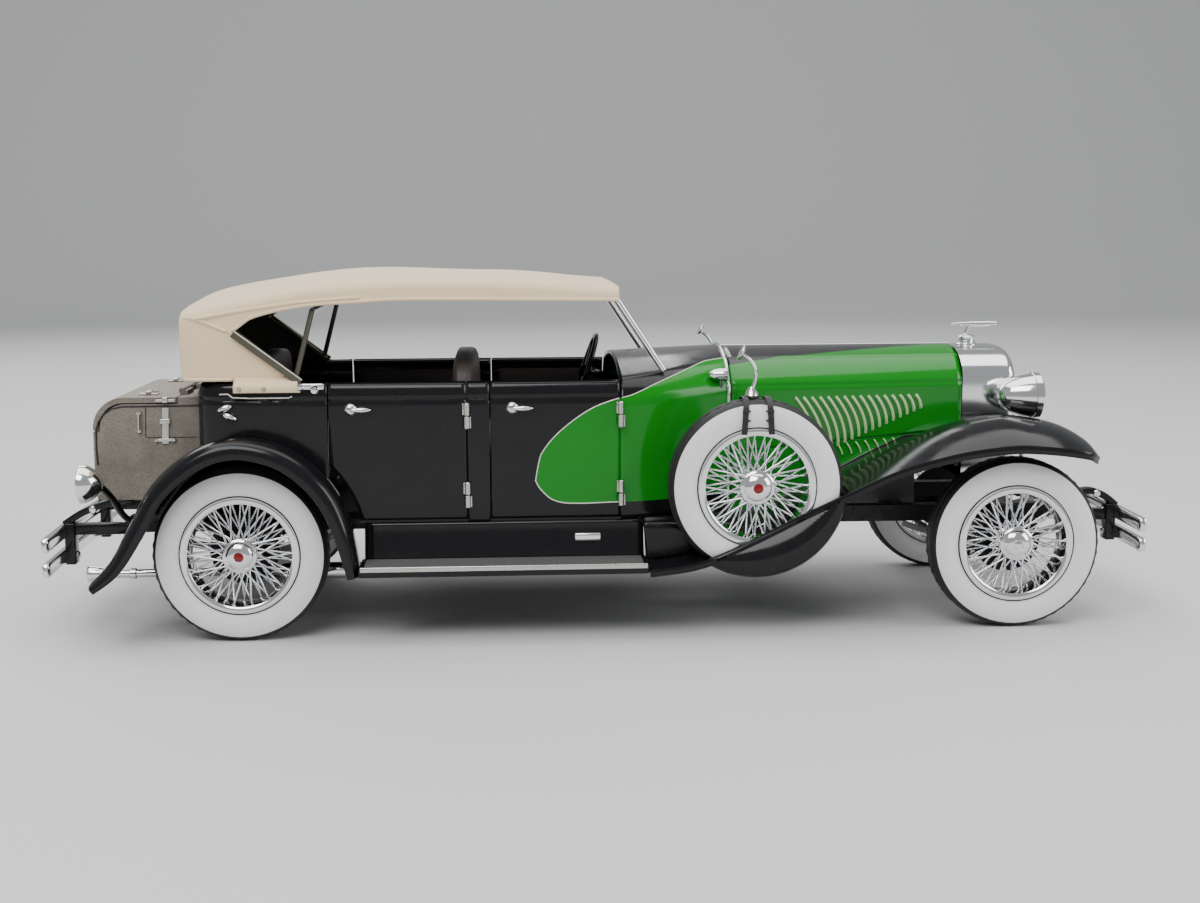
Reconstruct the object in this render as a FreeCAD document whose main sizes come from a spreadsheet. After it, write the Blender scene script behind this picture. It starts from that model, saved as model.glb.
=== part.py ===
"""Open four-door touring car in 1:18 scale, as an assembly of separate pieces.

The nose points to +X, the car's left side is +Y, the ground is z = 0 and x = 0 is the middle
of the overall length. Millimetres throughout.
"""
import FreeCAD
import Part
import Sketcher
import math
import os
from FreeCAD import Placement, Rotation, Vector

SIZES = {
    # wheels and axles
    "front_axle_x": 108.0, "wheelbase": 201.0, "half_track": 39.5,
    "tyre_radius": 22.4, "tyre_width": 10.0, "rim_radius": 14.6, "rim_depth": 1.5, "rim_width": 8.0,
    "hub_radius": 2.6, "hub_length": 8.4, "cap_radius": 4.5, "cap_height": 2.4,
    "spoke_radius": 0.35, "spoke_count": 20, "spindle_radius": 1.0, "spindle_length": 7.0,
    "running_gap": 0.05, "part_gap": 0.3, "drum_radius": 9.0, "drum_width": 1.0,
    "kingpin_y": 30.0, "kingpin_radius": 1.0, "eye_radius": 2.4, "eye_height": 4.8, "ear_thickness": 1.4,
    "knuckle_width": 4.4, "knuckle_plate": 1.3, "steering_arm": 10.0, "tie_rod_radius": 0.8,
    "axle_tube_radius": 2.0, "differential_radius": 5.5, "beam_height": 3.0, "beam_depth": 3.0,
    # frame
    "rail_y": 20.0, "rail_width": 4.0, "rail_low": 25.0, "rail_rear": -125.0, "rail_front": 128.0,
    "cross_width": 6.0, "post_hole_x": 6.5, "post_spacing": 73.0, "post_hole_radius": 1.25,
    "post_boss_radius": 3.2, "post_boss_low": 17.0, "spring_reach": 25.0, "spring_thickness": 1.5,
    "spring_width": 3.0, "spring_radius": 68.0, "tie_rod_lip": 0.2,
    # body
    "body_low": 29.4, "belt": 66.0, "body_rear": -104.5, "cowl_rear": 4.7, "cowl_front": 35.0,
    "body_half": 39.4, "body_wall": 1.8, "floor_thickness": 2.4, "cowl_wall": 1.3,
    "cowl_fullness": 1.6, "arch_radius": 25.7, "arch_wall": 1.2, "arch_inside": 33.4,
    "door_low": 30.2, "front_door_rear": -29.0, "rear_door_front": -34.9, "rear_door_rear": -70.3,
    "door_fender_radius": 31.8, "hinge_out": 0.9, "hinge_radius": 0.8, "hinge_pin": 0.35,
    "hinge_length": 7.0, "hinge_leaf": 2.4, "hinge_low": 36.5, "hinge_high": 57.2,
    "handle_length": 6.8, "handle_drop": 7.0, "handle_radius": 0.5, "handle_plate": 1.6,
    # hood and radiator
    "hood_top": 72.0, "hood_thickness": 1.0, "hood_hinge_radius": 0.6, "hood_front": 100.0,
    "hood_rear_half": 25.0, "hood_front_half": 18.0, "hood_seam": 62.6, "hood_rear_low": 45.0,
    "hood_front_low": 50.0, "radiator_length": 14.8, "radiator_half": 17.6, "radiator_low": 36.0,
    "radiator_shoulder": 64.0, "radiator_top": 71.6, "radiator_rim": 2.0, "core_setback": 3.0,
    "cap_x": 105.6, "cap_size": 2.2, "ornament_z": 77.2, "ornament_length": 13.8,
    "engine_rear": 46.0, "engine_front": 90.0, "engine_half": 6.0, "engine_low": 26.0,
    "engine_deck": 54.0, "engine_top": 63.0, "fan_x": 95.0, "fan_z": 51.0, "fan_radius": 9.0,
    "fan_blade": 3.0, "fan_shaft": 0.8,
    # lamps
    "lamp_x": 119.1, "lamp_y": 24.5, "lamp_z": 59.3, "lamp_radius": 6.2, "lamp_length": 11.4,
    "lens_thickness": 0.8, "lamp_bar_x": 116.8, "lamp_bar_radius": 0.9, "lamp_bar_short": 0.8, "lamp_post_y": 20.0,
    "cowl_lamp_x": 34.0, "cowl_lamp_y": 27.6, "cowl_lamp_z": 66.0, "cowl_lamp_radius": 1.9,
    "cowl_lamp_length": 5.0, "tail_lamp_x": -133.8, "tail_lamp_y": 38.0, "tail_lamp_z": 40.6,
    "tail_lamp_radius": 4.9, "tail_lamp_length": 6.0,
    # fenders and boards
    "fender_out": 51.4, "fender_thickness": 0.9, "fender_crown_y": 41.0, "rear_fender_inner": 39.9,
    "board_top": 20.3, "board_thickness": 2.8, "board_rear": -62.6, "board_front": 11.2,
    "apron_thickness": 0.8, "apron_out": 38.4,
    # spare wheels
    "spare_x": 38.8, "spare_y": 45.3, "spare_z": 39.1, "well_gap": 0.4, "well_wall": 0.7,
    "mirror_height": 75.2, "mirror_radius": 2.2,
    # windshield, top and cabin
    "windshield_low_x": 17.1, "windshield_low_z": 66.9, "windshield_top_x": 4.2,
    "windshield_top_z": 86.6, "windshield_half": 31.0, "post_radius": 0.8, "post_lift": 0.9,
    "header_radius": 0.65, "glass_thickness": 0.6,
    "top_half": 37.2, "top_skin": 1.0, "top_low": 66.4, "top_rear": -107.8, "top_front": 4.6,
    "iron_y": 35.2, "iron_radius": 0.7, "iron_foot_x": -78.6, "iron_foot_z": 66.8,
    "seat_half": 31.0, "seat_back_top": 71.0, "seat_top": 50.0, "seat_low": 32.1,
    "steering_x": -1.8, "steering_y": 14.0, "steering_z": 64.0, "steering_radius": 10.5,
    "steering_tilt": 18.0, "steering_grip": 0.7, "column_length": 31.0, "column_radius": 1.3,
    "dash_x": 9.0, "dash_low": 54.0, "dash_thickness": 1.5,
    # trunk
    "trunk_front": -104.8, "trunk_rear": -132.4, "trunk_half": 27.0, "trunk_low": 34.6,
    "trunk_top": 61.5, "trunk_wall": 1.4, "lid_front": -110.6, "lid_low": 53.0, "lid_corner": 8.0,
    "lid_hinge_radius": 0.8, "lid_pin_radius": 0.35,
    # bumpers and exhaust
    "half_length": 144.2, "bumper_bow": 900.0, "bumper_angle": 5.6, "bar_height": 3.8,
    "bar_depth": 2.2, "front_bar_low": 21.2, "front_bar_high": 26.6, "rear_bar_low": 18.9,
    "rear_bar_high": 25.4, "exhaust_y": 25.0, "exhaust_z": 14.5, "exhaust_radius": 1.1,
    "exhaust_rear": -135.8, "exhaust_front": -60.0,
}

RIGHT = -1
LEFT = 1
SIDES = (("right", RIGHT), ("left", LEFT))

doc = FreeCAD.newDocument("touring_car")
sheet = doc.addObject("Spreadsheet::Sheet", "dims")
for row, (alias, size) in enumerate(SIZES.items(), start=1):
    sheet.set("A%d" % row, alias)
    sheet.set("B%d" % row, str(size))
    sheet.setAlias("B%d" % row, alias)
doc.recompute()


def bind(expression):
    """Spreadsheet expression for a sum written with the bare names of the sizes."""
    words = expression.replace("(", "( ").replace(")", " )").split()
    return " ".join("dims." + word if word in SIZES else word for word in words)


def value(expression):
    """The number that an expression of the sheet's sizes gives now."""
    return float(sheet.evalExpression(bind(expression)))


def place(item, x="0", y="0", z="0", axis=None, angle=0.0):
    """Turns an object about its own origin, then ties its place to the sheet."""
    if axis is not None:
        item.Placement = Placement(Vector(), Rotation(Vector(*axis), angle))
    for letter, expression in (("x", x), ("y", y), ("z", z)):
        item.setExpression("Placement.Base." + letter, bind(expression))
    return item


def primitive(kind, name, sizes, **where):
    """One Part primitive whose sizes follow the sheet."""
    item = doc.addObject("Part::" + kind, name)
    for size, expression in sizes.items():
        item.setExpression(size, bind(expression))
    return place(item, **where)


def box(name, x, y, z):
    """Box between pairs of low and high values, each an expression."""
    sizes = {side: "( %s ) - ( %s )" % (span[1], span[0])
             for side, span in (("Length", x), ("Width", y), ("Height", z))}
    return primitive("Box", name, sizes, x=x[0], y=y[0], z=z[0])


def cylinder(name, radius, height, axis="z", **where):
    """Cylinder that starts at its place and runs along +x, +y or +z."""
    turns = {"x": ((0, 1, 0), 90), "y": ((1, 0, 0), -90), "z": (None, 0)}
    turn, angle = turns[axis]
    sizes = {"Radius": radius, "Height": height}
    return primitive("Cylinder", name, sizes, axis=turn, angle=angle, **where)


def rod(name, start, end, radius):
    """Cylinder between two points given as numbers."""
    run = Vector(*end) - Vector(*start)
    item = doc.addObject("Part::Cylinder", name)
    item.Height = run.Length
    item.setExpression("Radius", bind(radius))
    item.Placement = Placement(Vector(*start), Rotation(Vector(0, 0, 1), run))
    return item


def fuse(label, items):
    """One solid of several."""
    whole = doc.addObject("Part::MultiFuse", label)
    whole.Shapes = items
    whole.Refine = True
    return whole


def cut(label, base, tool):
    """Base less tool."""
    whole = doc.addObject("Part::Cut", label)
    whole.Base = base
    whole.Tool = tool
    return whole


def group(label, items):
    """Separate solids that share one node."""
    whole = doc.addObject("Part::Compound", label)
    whole.Links = items
    return whole


def feature(label, shape):
    """A shape made by Part's own functions."""
    item = doc.addObject("Part::Feature", label)
    item.Shape = shape
    return item


def outline(body, role, corners):
    """Closed sketch. Each corner is (x, y) or (x, y, radius, side) for an arc to the next one."""
    origin = [plane for plane in body.Origin.OriginFeatures if plane.Role == role][0]
    sketch = body.newObject("Sketcher::SketchObject", "outline")
    sketch.AttachmentSupport = [(origin, "")]
    sketch.MapMode = "FlatFace"
    points = [Vector(value(corner[0]), value(corner[1]), 0) for corner in corners]
    ends = []
    for index, corner in enumerate(corners):
        start = points[index]
        end = points[(index + 1) % len(points)]
        if len(corner) == 2:
            ends.append((sketch.addGeometry(Part.LineSegment(start, end), False), 1, 2))
            continue
        radius = value(corner[2])
        chord = end - start
        rise = math.sqrt(max(radius ** 2 - chord.Length ** 2 / 4, 0.0))
        normal = Vector(-chord.y, chord.x, 0).normalize()
        centre = (start + end) * 0.5 + normal * rise * corner[3]
        first, last = (start, end) if corner[3] > 0 else (end, start)
        angles = [math.atan2(spot.y - centre.y, spot.x - centre.x) for spot in (first, last)]
        circle = Part.Circle(centre, Vector(0, 0, 1), radius)
        arc = sketch.addGeometry(Part.ArcOfCircle(circle, angles[0], angles[1]), False)
        ends.append((arc, 1, 2) if corner[3] > 0 else (arc, 2, 1))
    for index, (edge, _, tail) in enumerate(ends):
        following, head, _ = ends[(index + 1) % len(ends)]
        sketch.addConstraint(Sketcher.Constraint("Coincident", edge, tail, following, head))
    for index, corner in enumerate(corners):
        edge, head, _ = ends[index]
        for kind, spot, expression in (("DistanceX", points[index].x, corner[0]),
                                       ("DistanceY", points[index].y, corner[1])):
            number = sketch.addConstraint(Sketcher.Constraint(kind, -1, 1, edge, head, spot))
            sketch.setExpression("Constraints[%d]" % number, bind(expression))
        if len(corner) > 2:
            number = sketch.addConstraint(Sketcher.Constraint("Radius", edge, value(corner[2])))
            sketch.setExpression("Constraints[%d]" % number, bind(corner[2]))
    return sketch


def new_body(name, **where):
    """PartDesign body at a place that follows the sheet."""
    return place(doc.addObject("PartDesign::Body", name), **where)


def revolve(body, role, corners, axis, angle=360.0):
    """Turned feature about the sketch's own V_Axis or H_Axis."""
    sketch = outline(body, role, corners)
    turned = body.newObject("PartDesign::Revolution", "turned")
    turned.Profile = sketch
    turned.ReferenceAxis = (sketch, [axis])
    turned.Angle = angle
    turned.Midplane = angle < 360.0
    return turned


def pad(body, role, corners, length, middle=True):
    """Straight feature, as wide as length, on both sides of its plane or on one."""
    raised = body.newObject("PartDesign::Pad", "pad")
    raised.Profile = outline(body, role, corners)
    raised.setExpression("Length", bind(length))
    raised.Midplane = middle
    return raised


def pocket(body, role, corners, length):
    """Straight cut on both sides of its plane."""
    sunk = body.newObject("PartDesign::Pocket", "pocket")
    sunk.Profile = outline(body, role, corners)
    sunk.setExpression("Length", bind(length))
    sunk.Midplane = True
    return sunk


# ---------------------------------------------------------------- frame and axles

def chassis_frame():
    rails = []
    for name, side in SIDES:
        middle = "%d * rail_y" % side
        rails.append(box("rail_" + name, ("rail_rear", "rail_front"),
                         (middle + " - rail_width / 2", middle + " + rail_width / 2"),
                         ("rail_low", "body_low")))
    holes = []
    places = ["rail_rear + cross_width", "front_axle_x - wheelbase + 16", "front_axle_x + 6"]
    posts = ["post_hole_x - post_spacing / 2", "post_hole_x + post_spacing / 2"]
    for number, middle in enumerate(places + posts):
        rails.append(box("cross_%d" % number, (middle + " - cross_width / 2", middle + " + cross_width / 2"),
                         ("-1 * rail_y", "rail_y"), ("rail_low", "body_low - 1")))
    for number, middle in enumerate(posts):
        rails.append(cylinder("boss_%d" % number, "post_boss_radius", "rail_low + 1 - post_boss_low",
                              x=middle, z="post_boss_low"))
        holes.append(cylinder("hole_%d" % number, "post_hole_radius", "rail_low - post_boss_low",
                              x=middle, z="post_boss_low"))
    cut("chassis_frame", fuse("frame_solid", rails), fuse("frame_holes", holes))


def front_axle():
    beam_low = "tyre_radius - beam_height / 2"
    beam = box("axle_beam", ("front_axle_x - beam_depth / 2", "front_axle_x + beam_depth / 2"),
               ("-1 * kingpin_y", "kingpin_y"), (beam_low, "tyre_radius + beam_height / 2"))
    solids = [beam]
    bores = []
    for name, side in SIDES:
        middle = "%d * kingpin_y" % side
        solids.append(cylinder("eye_" + name, "eye_radius", "eye_height", x="front_axle_x", y=middle,
                               z="tyre_radius - eye_height / 2"))
        bores.append(cylinder("eye_bore_" + name, "kingpin_radius + running_gap", "eye_height + 2",
                              x="front_axle_x", y=middle, z="tyre_radius - eye_height / 2 - 1"))
    cut("front_axle", fuse("axle_solid", solids), fuse("axle_bores", bores))


def spindle(name, side, x):
    """Brake drum and spindle, from the drum's inner face outwards."""
    inner = "%d * ( kingpin_y + eye_radius + part_gap + knuckle_plate )" % side
    turn = {"axis": (1, 0, 0), "angle": -90.0 * side}
    drum = primitive("Cylinder", "drum_" + name, {"Radius": "drum_radius", "Height": "drum_width"},
                     x=x, y=inner, z="tyre_radius", **turn)
    shaft = primitive("Cylinder", "spindle_" + name,
                      {"Radius": "spindle_radius", "Height": "drum_width + spindle_length"},
                      x=x, y=inner, z="tyre_radius", **turn)
    return [drum, shaft]


def rear_axle():
    rear = "front_axle_x - wheelbase"
    end = "kingpin_y + eye_radius + part_gap + knuckle_plate"
    tube = cylinder("axle_tube", "axle_tube_radius", "2 * ( %s )" % end, axis="y",
                    x=rear, y="-1 * ( %s )" % end, z="tyre_radius")
    housing = primitive("Sphere", "differential", {"Radius": "differential_radius"}, x=rear, z="tyre_radius")
    items = [tube, housing]
    for name, side in SIDES:
        items += spindle("rear_" + name, side, rear)
    fuse("rear_axle", items)


def knuckle(name, side):
    """Steering knuckle: kingpin, two ears, plate, drum, spindle and the arm for the tie rod."""
    half_eye = "eye_height / 2 + part_gap"
    low = "tyre_radius - ( %s ) - ear_thickness" % half_eye
    high = "tyre_radius + ( %s ) + ear_thickness" % half_eye
    middle = "%d * kingpin_y" % side
    inner = "%d * ( kingpin_y + eye_radius + part_gap )" % side
    outer = "%d * ( kingpin_y + eye_radius + part_gap + knuckle_plate )" % side
    span = (inner, outer) if side > 0 else (outer, inner)
    reach = (middle, outer) if side > 0 else (outer, middle)
    width = ("front_axle_x - knuckle_width / 2", "front_axle_x + knuckle_width / 2")
    arm_end = "front_axle_x - steering_arm"
    items = [
        cylinder("kingpin_" + name, "kingpin_radius", "( %s ) - ( %s )" % (high, low),
                 x="front_axle_x", y=middle, z=low),
        box("plate_" + name, width, span, (low, high)),
        box("ear_low_" + name, width, reach, (low, low + " + ear_thickness")),
        box("ear_high_" + name, width, reach, (high + " - ear_thickness", high)),
        box("arm_" + name, (arm_end, "front_axle_x"), (middle + " - kingpin_radius", middle + " + kingpin_radius"),
            (low, low + " + ear_thickness")),
        cylinder("arm_eye_" + name, "kingpin_radius + 0.5", "ear_thickness", x=arm_end, y=middle, z=low),
        cylinder("arm_pin_" + name, "tie_rod_radius", "tie_rod_radius * 2 + tie_rod_lip * 2 + part_gap * 2",
                 x=arm_end, y=middle, z=low + " - tie_rod_radius * 2 - tie_rod_lip * 2 - part_gap * 2"),
    ]
    fuse("knuckle_" + name, items + spindle("front_" + name, side, "front_axle_x"))


def tie_rod():
    level = "tyre_radius - eye_height / 2 - part_gap * 2 - ear_thickness - tie_rod_radius - tie_rod_lip"
    arm_end = "front_axle_x - steering_arm"
    bar = cylinder("tie_bar", "tie_rod_radius", "2 * kingpin_y", axis="y", x=arm_end,
                   y="-1 * kingpin_y", z=level)
    solids = [bar]
    bores = []
    for name, side in SIDES:
        middle = "%d * kingpin_y" % side
        solids.append(cylinder("tie_eye_" + name, "tie_rod_radius + 1", "tie_rod_radius * 2 + tie_rod_lip * 2",
                               x=arm_end, y=middle, z=level + " - tie_rod_radius - tie_rod_lip"))
        bores.append(cylinder("tie_bore_" + name, "tie_rod_radius + running_gap", "tie_rod_radius * 4",
                              x=arm_end, y=middle, z=level + " - tie_rod_radius * 2"))
    cut("tie_rod", fuse("tie_solid", solids), fuse("tie_bores", bores))


def leaf_springs():
    """Four bowed spring stacks under the axles, with their ends under the rails."""
    springs = []
    axles = (("front", "front_axle_x"), ("rear", "front_axle_x - wheelbase"))
    for end, x in axles:
        for name, side in SIDES:
            body = new_body("spring_%s_%s" % (end, name), x=x, y="%d * rail_y" % side, z="rail_low")
            low = "-1 * spring_thickness"
            pad(body, "XZ_Plane", [("-1 * spring_reach", "0"), ("-1 * spring_reach", low, "spring_radius", 1),
                                   ("spring_reach", low), ("spring_reach", "0", "spring_radius", -1)],
                "spring_width")
            springs.append(body)
    group("leaf_springs", springs)


# ---------------------------------------------------------------- wheels

def tyre(name, x, y, z):
    """Tyre with its axle along y."""
    body = new_body(name, x=x, y=y, z=z)
    side = "0.4 * tyre_width"
    shoulder = "tyre_radius - 1.6"
    revolve(body, "XY_Plane", [
        ("rim_radius", "-1 * " + side, "tyre_radius - rim_radius - 1", 1),
        (shoulder, "-1 * " + side, "1.6", 1),
        ("tyre_radius", "-1 * %s + 1.6" % side),
        ("tyre_radius", side + " - 1.6", "1.6", 1),
        (shoulder, side, "tyre_radius - rim_radius - 1", 1),
        ("rim_radius", side)], "V_Axis")
    return body


def wheel(name, x, y, z, side):
    """Rim, hub with a blind bore, domed cap and laced spokes. The cap faces away from the car."""
    angle = 0.0 if side < 0 else 180.0
    body = new_body(name, x=x, y=y, z=z, axis=(0, 0, 1), angle=angle)
    inner = "rim_radius - rim_depth"
    half = "rim_width / 2"
    revolve(body, "XY_Plane", [
        ("rim_radius", "-1 * " + half), ("rim_radius", half), (inner, half),
        (inner + " + 0.7", "0"), (inner, "-1 * " + half)], "V_Axis")
    bore = "spindle_radius + running_gap"
    back = "hub_length / 2"
    face = "-1 * hub_length / 2"
    floor = "half_track - kingpin_y - eye_radius - knuckle_plate - drum_width - spindle_length - part_gap * 2"
    hub = revolve(body, "XY_Plane", [
        (bore, back), (bore, floor), ("0", floor), ("0", face + " - cap_height"),
        ("cap_radius / 2", face + " - 0.87 * cap_height"), ("0.85 * cap_radius", face + " - 0.5 * cap_height"),
        ("cap_radius", face), ("cap_radius", face + " + 1"), ("hub_radius", face + " + 1.6"),
        ("hub_radius", back)], "V_Axis")
    return body, hub


def spoked(body):
    """Adds two cones of round spokes between the hub and the rim."""
    lean = (("face", -1, 0.0), ("back", 1, 0.5))
    for name, end, phase in lean:
        root = Vector(value("hub_radius") - 0.4, end * (value("hub_length") / 2 - 1.6), 0)
        tip = Vector(value("rim_radius") - 0.6, end * value("rim_width / 8"), 0)
        run = tip - root
        spoke = body.newObject("PartDesign::AdditiveCylinder", "spoke_" + name)
        spoke.setExpression("Radius", bind("spoke_radius"))
        spoke.Height = run.Length
        turn = Rotation(Vector(0, 0, 1), run)
        step = 360.0 * phase / value("spoke_count")
        spoke.Placement = Placement(Vector(), Rotation(Vector(0, 1, 0), step)) * Placement(root, turn)
        ring = body.newObject("PartDesign::PolarPattern", "spokes_" + name)
        ring.Originals = [spoke]
        axis = [line for line in body.Origin.OriginFeatures if line.Role == "Y_Axis"][0]
        ring.Axis = (axis, [""])
        ring.Angle = 360.0
        ring.setExpression("Occurrences", bind("spoke_count"))
        body.Tip = ring
    return body


def road_wheels():
    ends = (("front", "front_axle_x"), ("rear", "front_axle_x - wheelbase"))
    for end, x in ends:
        for name, side in SIDES:
            y = "%d * half_track" % side
            tyre("tyre_%s_%s" % (end, name), x, y, "tyre_radius")
            spoked(wheel("wheel_%s_%s" % (end, name), x, y, "tyre_radius", side)[0])


def spare_wheels():
    tyres = []
    wheels = []
    for name, side in SIDES:
        y = "%d * spare_y" % side
        tyres.append(tyre("spare_tyre_" + name, "spare_x", y, "spare_z"))
        wheels.append(spoked(wheel("spare_wheel_" + name, "spare_x", y, "spare_z", side)[0]))
    group("spare_tyres", tyres)
    group("spare_wheels", wheels)


def mirrors():
    """Strapped saddle on each spare tyre, with a stalk and a round mirror that looks back."""
    top = value("spare_z + tyre_radius + part_gap")
    items = []
    for name, side in SIDES:
        y = side * value("spare_y")
        x = value("spare_x")
        saddle = box("saddle_" + name, ("spare_x - 3", "spare_x + 3"),
                     ("%d * spare_y - 3" % side, "%d * spare_y + 3" % side),
                     ("spare_z + tyre_radius + part_gap", "spare_z + tyre_radius + part_gap + 1"))
        stalk = rod("stalk_" + name, (x - 0.5, y, top + 0.5), (x - 2.5, y, value("mirror_height") - 1), "0.6")
        head = cylinder("mirror_head_" + name, "mirror_radius", "0.9", axis="x", x="spare_x - 3",
                        y="%d * spare_y" % side, z="mirror_height - mirror_radius")
        items.append(fuse("mirror_" + name, [saddle, stalk, head]))
    group("mirrors", items)


# ---------------------------------------------------------------- body

def body_solid(inset, low, high, front):
    """The body's outside, or the same surface moved in by inset, from low to high."""
    rear = value("body_rear") + inset
    half = value("body_half") - inset
    side = [Vector(front, -half + 0.7, low), Vector((front + rear) / 2, -half, low),
            Vector(rear + 14.0, -half + 1.0, low)]
    corner = [side[2], Vector(rear + 4.0, -half + 3.4, low), Vector(rear, -half + 8.4, low)]
    flip = [Vector(spot.x, -spot.y, spot.z) for spot in side + corner]
    edges = [Part.Arc(*side), Part.Arc(*corner), Part.LineSegment(corner[2], flip[5]),
             Part.Arc(flip[5], flip[4], flip[3]), Part.Arc(flip[2], flip[1], flip[0]),
             Part.LineSegment(flip[0], side[0])]
    plan = Part.Face(Part.Wire([edge.toShape() for edge in edges]))
    return plan.extrude(Vector(0, 0, high - low))


def block(low, high):
    """Plain box between two corners given as numbers."""
    size = Vector(*high) - Vector(*low)
    return Part.makeBox(size.x, size.y, size.z, Vector(*low))


def wheel_drum(radius, side, inside):
    """Cylinder about the rear axle from a plane inside the body outwards."""
    x = value("front_axle_x - wheelbase")
    start = Vector(x, side * inside, value("tyre_radius"))
    return Part.makeCylinder(radius, 20.0, start, Vector(0, side, 0))


def door_spans():
    front = value("cowl_rear")
    return (("front", value("front_door_rear"), front),
            ("rear", value("rear_door_rear"), value("rear_door_front")))


def door_prism(low_x, high_x, side, grow):
    """The door's outline run through one side of the body, less the rear fender's arch."""
    low = value("door_low") - grow
    near = 0.75 * value("body_half")
    far = value("body_half") + 4.0
    spans = sorted((side * near, side * far))
    prism = block((low_x - grow, spans[0], low), (high_x + grow, spans[1], value("belt") + 5.0))
    return prism.cut(wheel_drum(value("door_fender_radius") - grow, side, near - 1.0))


def body_shell():
    low = value("body_low")
    high = value("belt")
    wall = value("body_wall")
    front = value("cowl_rear")
    cavity = body_solid(wall, low + value("floor_thickness"), high + 5.0, front + 5.0)
    shape = body_solid(0.0, low, high, front)
    for _, side in SIDES:
        inside = value("arch_inside")
        wall_drum = wheel_drum(value("arch_radius + arch_wall"), side, inside - value("arch_wall"))
        cavity = cavity.cut(wall_drum)
        shape = shape.cut(wheel_drum(value("arch_radius"), side, inside))
    shape = shape.cut(cavity)
    gap = value("part_gap") / 2
    for _, low_x, high_x in door_spans():
        for _, side in SIDES:
            shape = shape.cut(door_prism(low_x, high_x, side, gap))
    feature("body_shell", shape.removeSplitter())


def doors():
    low = value("body_low")
    gap = value("part_gap") / 2
    front = value("cowl_rear")
    outside = body_solid(0.0, low, value("belt"), front)
    inside = body_solid(value("body_wall"), low - 1.0, value("belt") + 5.0, front + 1.0)
    skin = outside.cut(inside)
    for end, low_x, high_x in door_spans():
        for name, side in SIDES:
            panel = skin.common(door_prism(low_x, high_x, side, -gap))
            label = "%s_%s" % (end, name)
            leaf = [feature("panel_" + label, panel)]
            for level in ("hinge_low", "hinge_high"):
                leaf.append(door_knuckle(label, high_x, side, level))
            solid = fuse("door_solid_" + label, leaf)
            x, y = hinge_axis(high_x, side)
            bore = cylinder("door_bore_" + label, "hinge_pin + running_gap", "belt - door_low",
                            x=x, y=y, z="door_low")
            cut("door_" + label, solid, bore)


def hinge_axis(x, side):
    """Place of a door hinge's axis, just outside the body's side."""
    return "%.4f" % x, "%d * ( body_half + hinge_out )" % side


def leaf_plate(name, x, side, level, direction, z_from, z_to):
    """Flat hinge leaf from the axis to one side of it."""
    axis_x, axis_y = hinge_axis(x, side)
    inner = "%d * ( body_half - body_wall / 2 )" % side
    near = sorted(((0.15 if direction > 0 else -0.15) + x, x + direction * value("hinge_leaf")))
    across = (inner, axis_y) if side > 0 else (axis_y, inner)
    return box(name, ("%.4f" % near[0], "%.4f" % near[1]), across,
               ("%s + %s" % (level, z_from), "%s + %s" % (level, z_to)))


def door_knuckle(label, x, side, level):
    """Middle knuckle and leaf, which move with the door."""
    axis_x, axis_y = hinge_axis(x, side)
    third = "hinge_length / 3"
    start = "-1 * hinge_length / 6 + part_gap / 2"
    end = "hinge_length / 6 - part_gap / 2"
    barrel = cylinder("knuckle_%s_%s" % (label, level), "hinge_radius", third + " - part_gap",
                      x=axis_x, y=axis_y, z="%s + %s" % (level, start))
    leaf = leaf_plate("door_leaf_%s_%s" % (label, level), x, side, level, -1, start, end)
    return fuse("door_hinge_%s_%s" % (label, level), [barrel, leaf])


def door_hinges():
    """Fixed halves: a pin through two outer knuckles, with leaves that end on the body's skin."""
    low = value("body_low")
    outside = feature("hinge_trim", body_solid(0.0, low, value("belt"), value("cowl_rear"))
                      .fuse(cowl_solid(0.0, 0.0)))
    pieces = []
    for end, _, high_x in door_spans():
        for name, side in SIDES:
            for level in ("hinge_low", "hinge_high"):
                label = "%s_%s_%s" % (end, name, level)
                x, y = hinge_axis(high_x, side)
                items = [cylinder("pin_" + label, "hinge_pin", "hinge_length", x=x, y=y,
                                  z=level + " - hinge_length / 2")]
                for part, start in (("low", "-1 * hinge_length / 2"), ("high", "hinge_length / 6")):
                    items.append(cylinder("fixed_%s_%s" % (part, label), "hinge_radius", "hinge_length / 3",
                                          x=x, y=y, z="%s + %s" % (level, start)))
                    items.append(leaf_plate("leaf_%s_%s" % (part, label), high_x, side, level, 1,
                                            start, start + " + hinge_length / 3"))
                pieces.append(cut("hinge_" + label, fuse("hinge_solid_" + label, items), outside))
    group("door_hinges", pieces)


def door_handles():
    """Lever handle on a small rose, one on each door near its rear edge."""
    for end, low_x, _ in door_spans():
        for name, side in SIDES:
            label = "handle_%s_%s" % (end, name)
            x = low_x + 4.2
            skin = "%d * ( body_half + part_gap )" % side
            turn = {"axis": (1, 0, 0), "angle": -90.0 * side}
            rose = primitive("Cylinder", "rose_" + label, {"Radius": "handle_plate", "Height": "0.8"},
                             x="%.3f + handle_plate" % x, y=skin, z="belt - handle_drop", **turn)
            lever = cylinder("lever_" + label, "handle_radius", "handle_length", axis="x",
                             x="%.3f" % x, y="%d * ( body_half + part_gap + 1.1 )" % side,
                             z="belt - handle_drop")
            fuse(label, [rose, lever])


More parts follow.
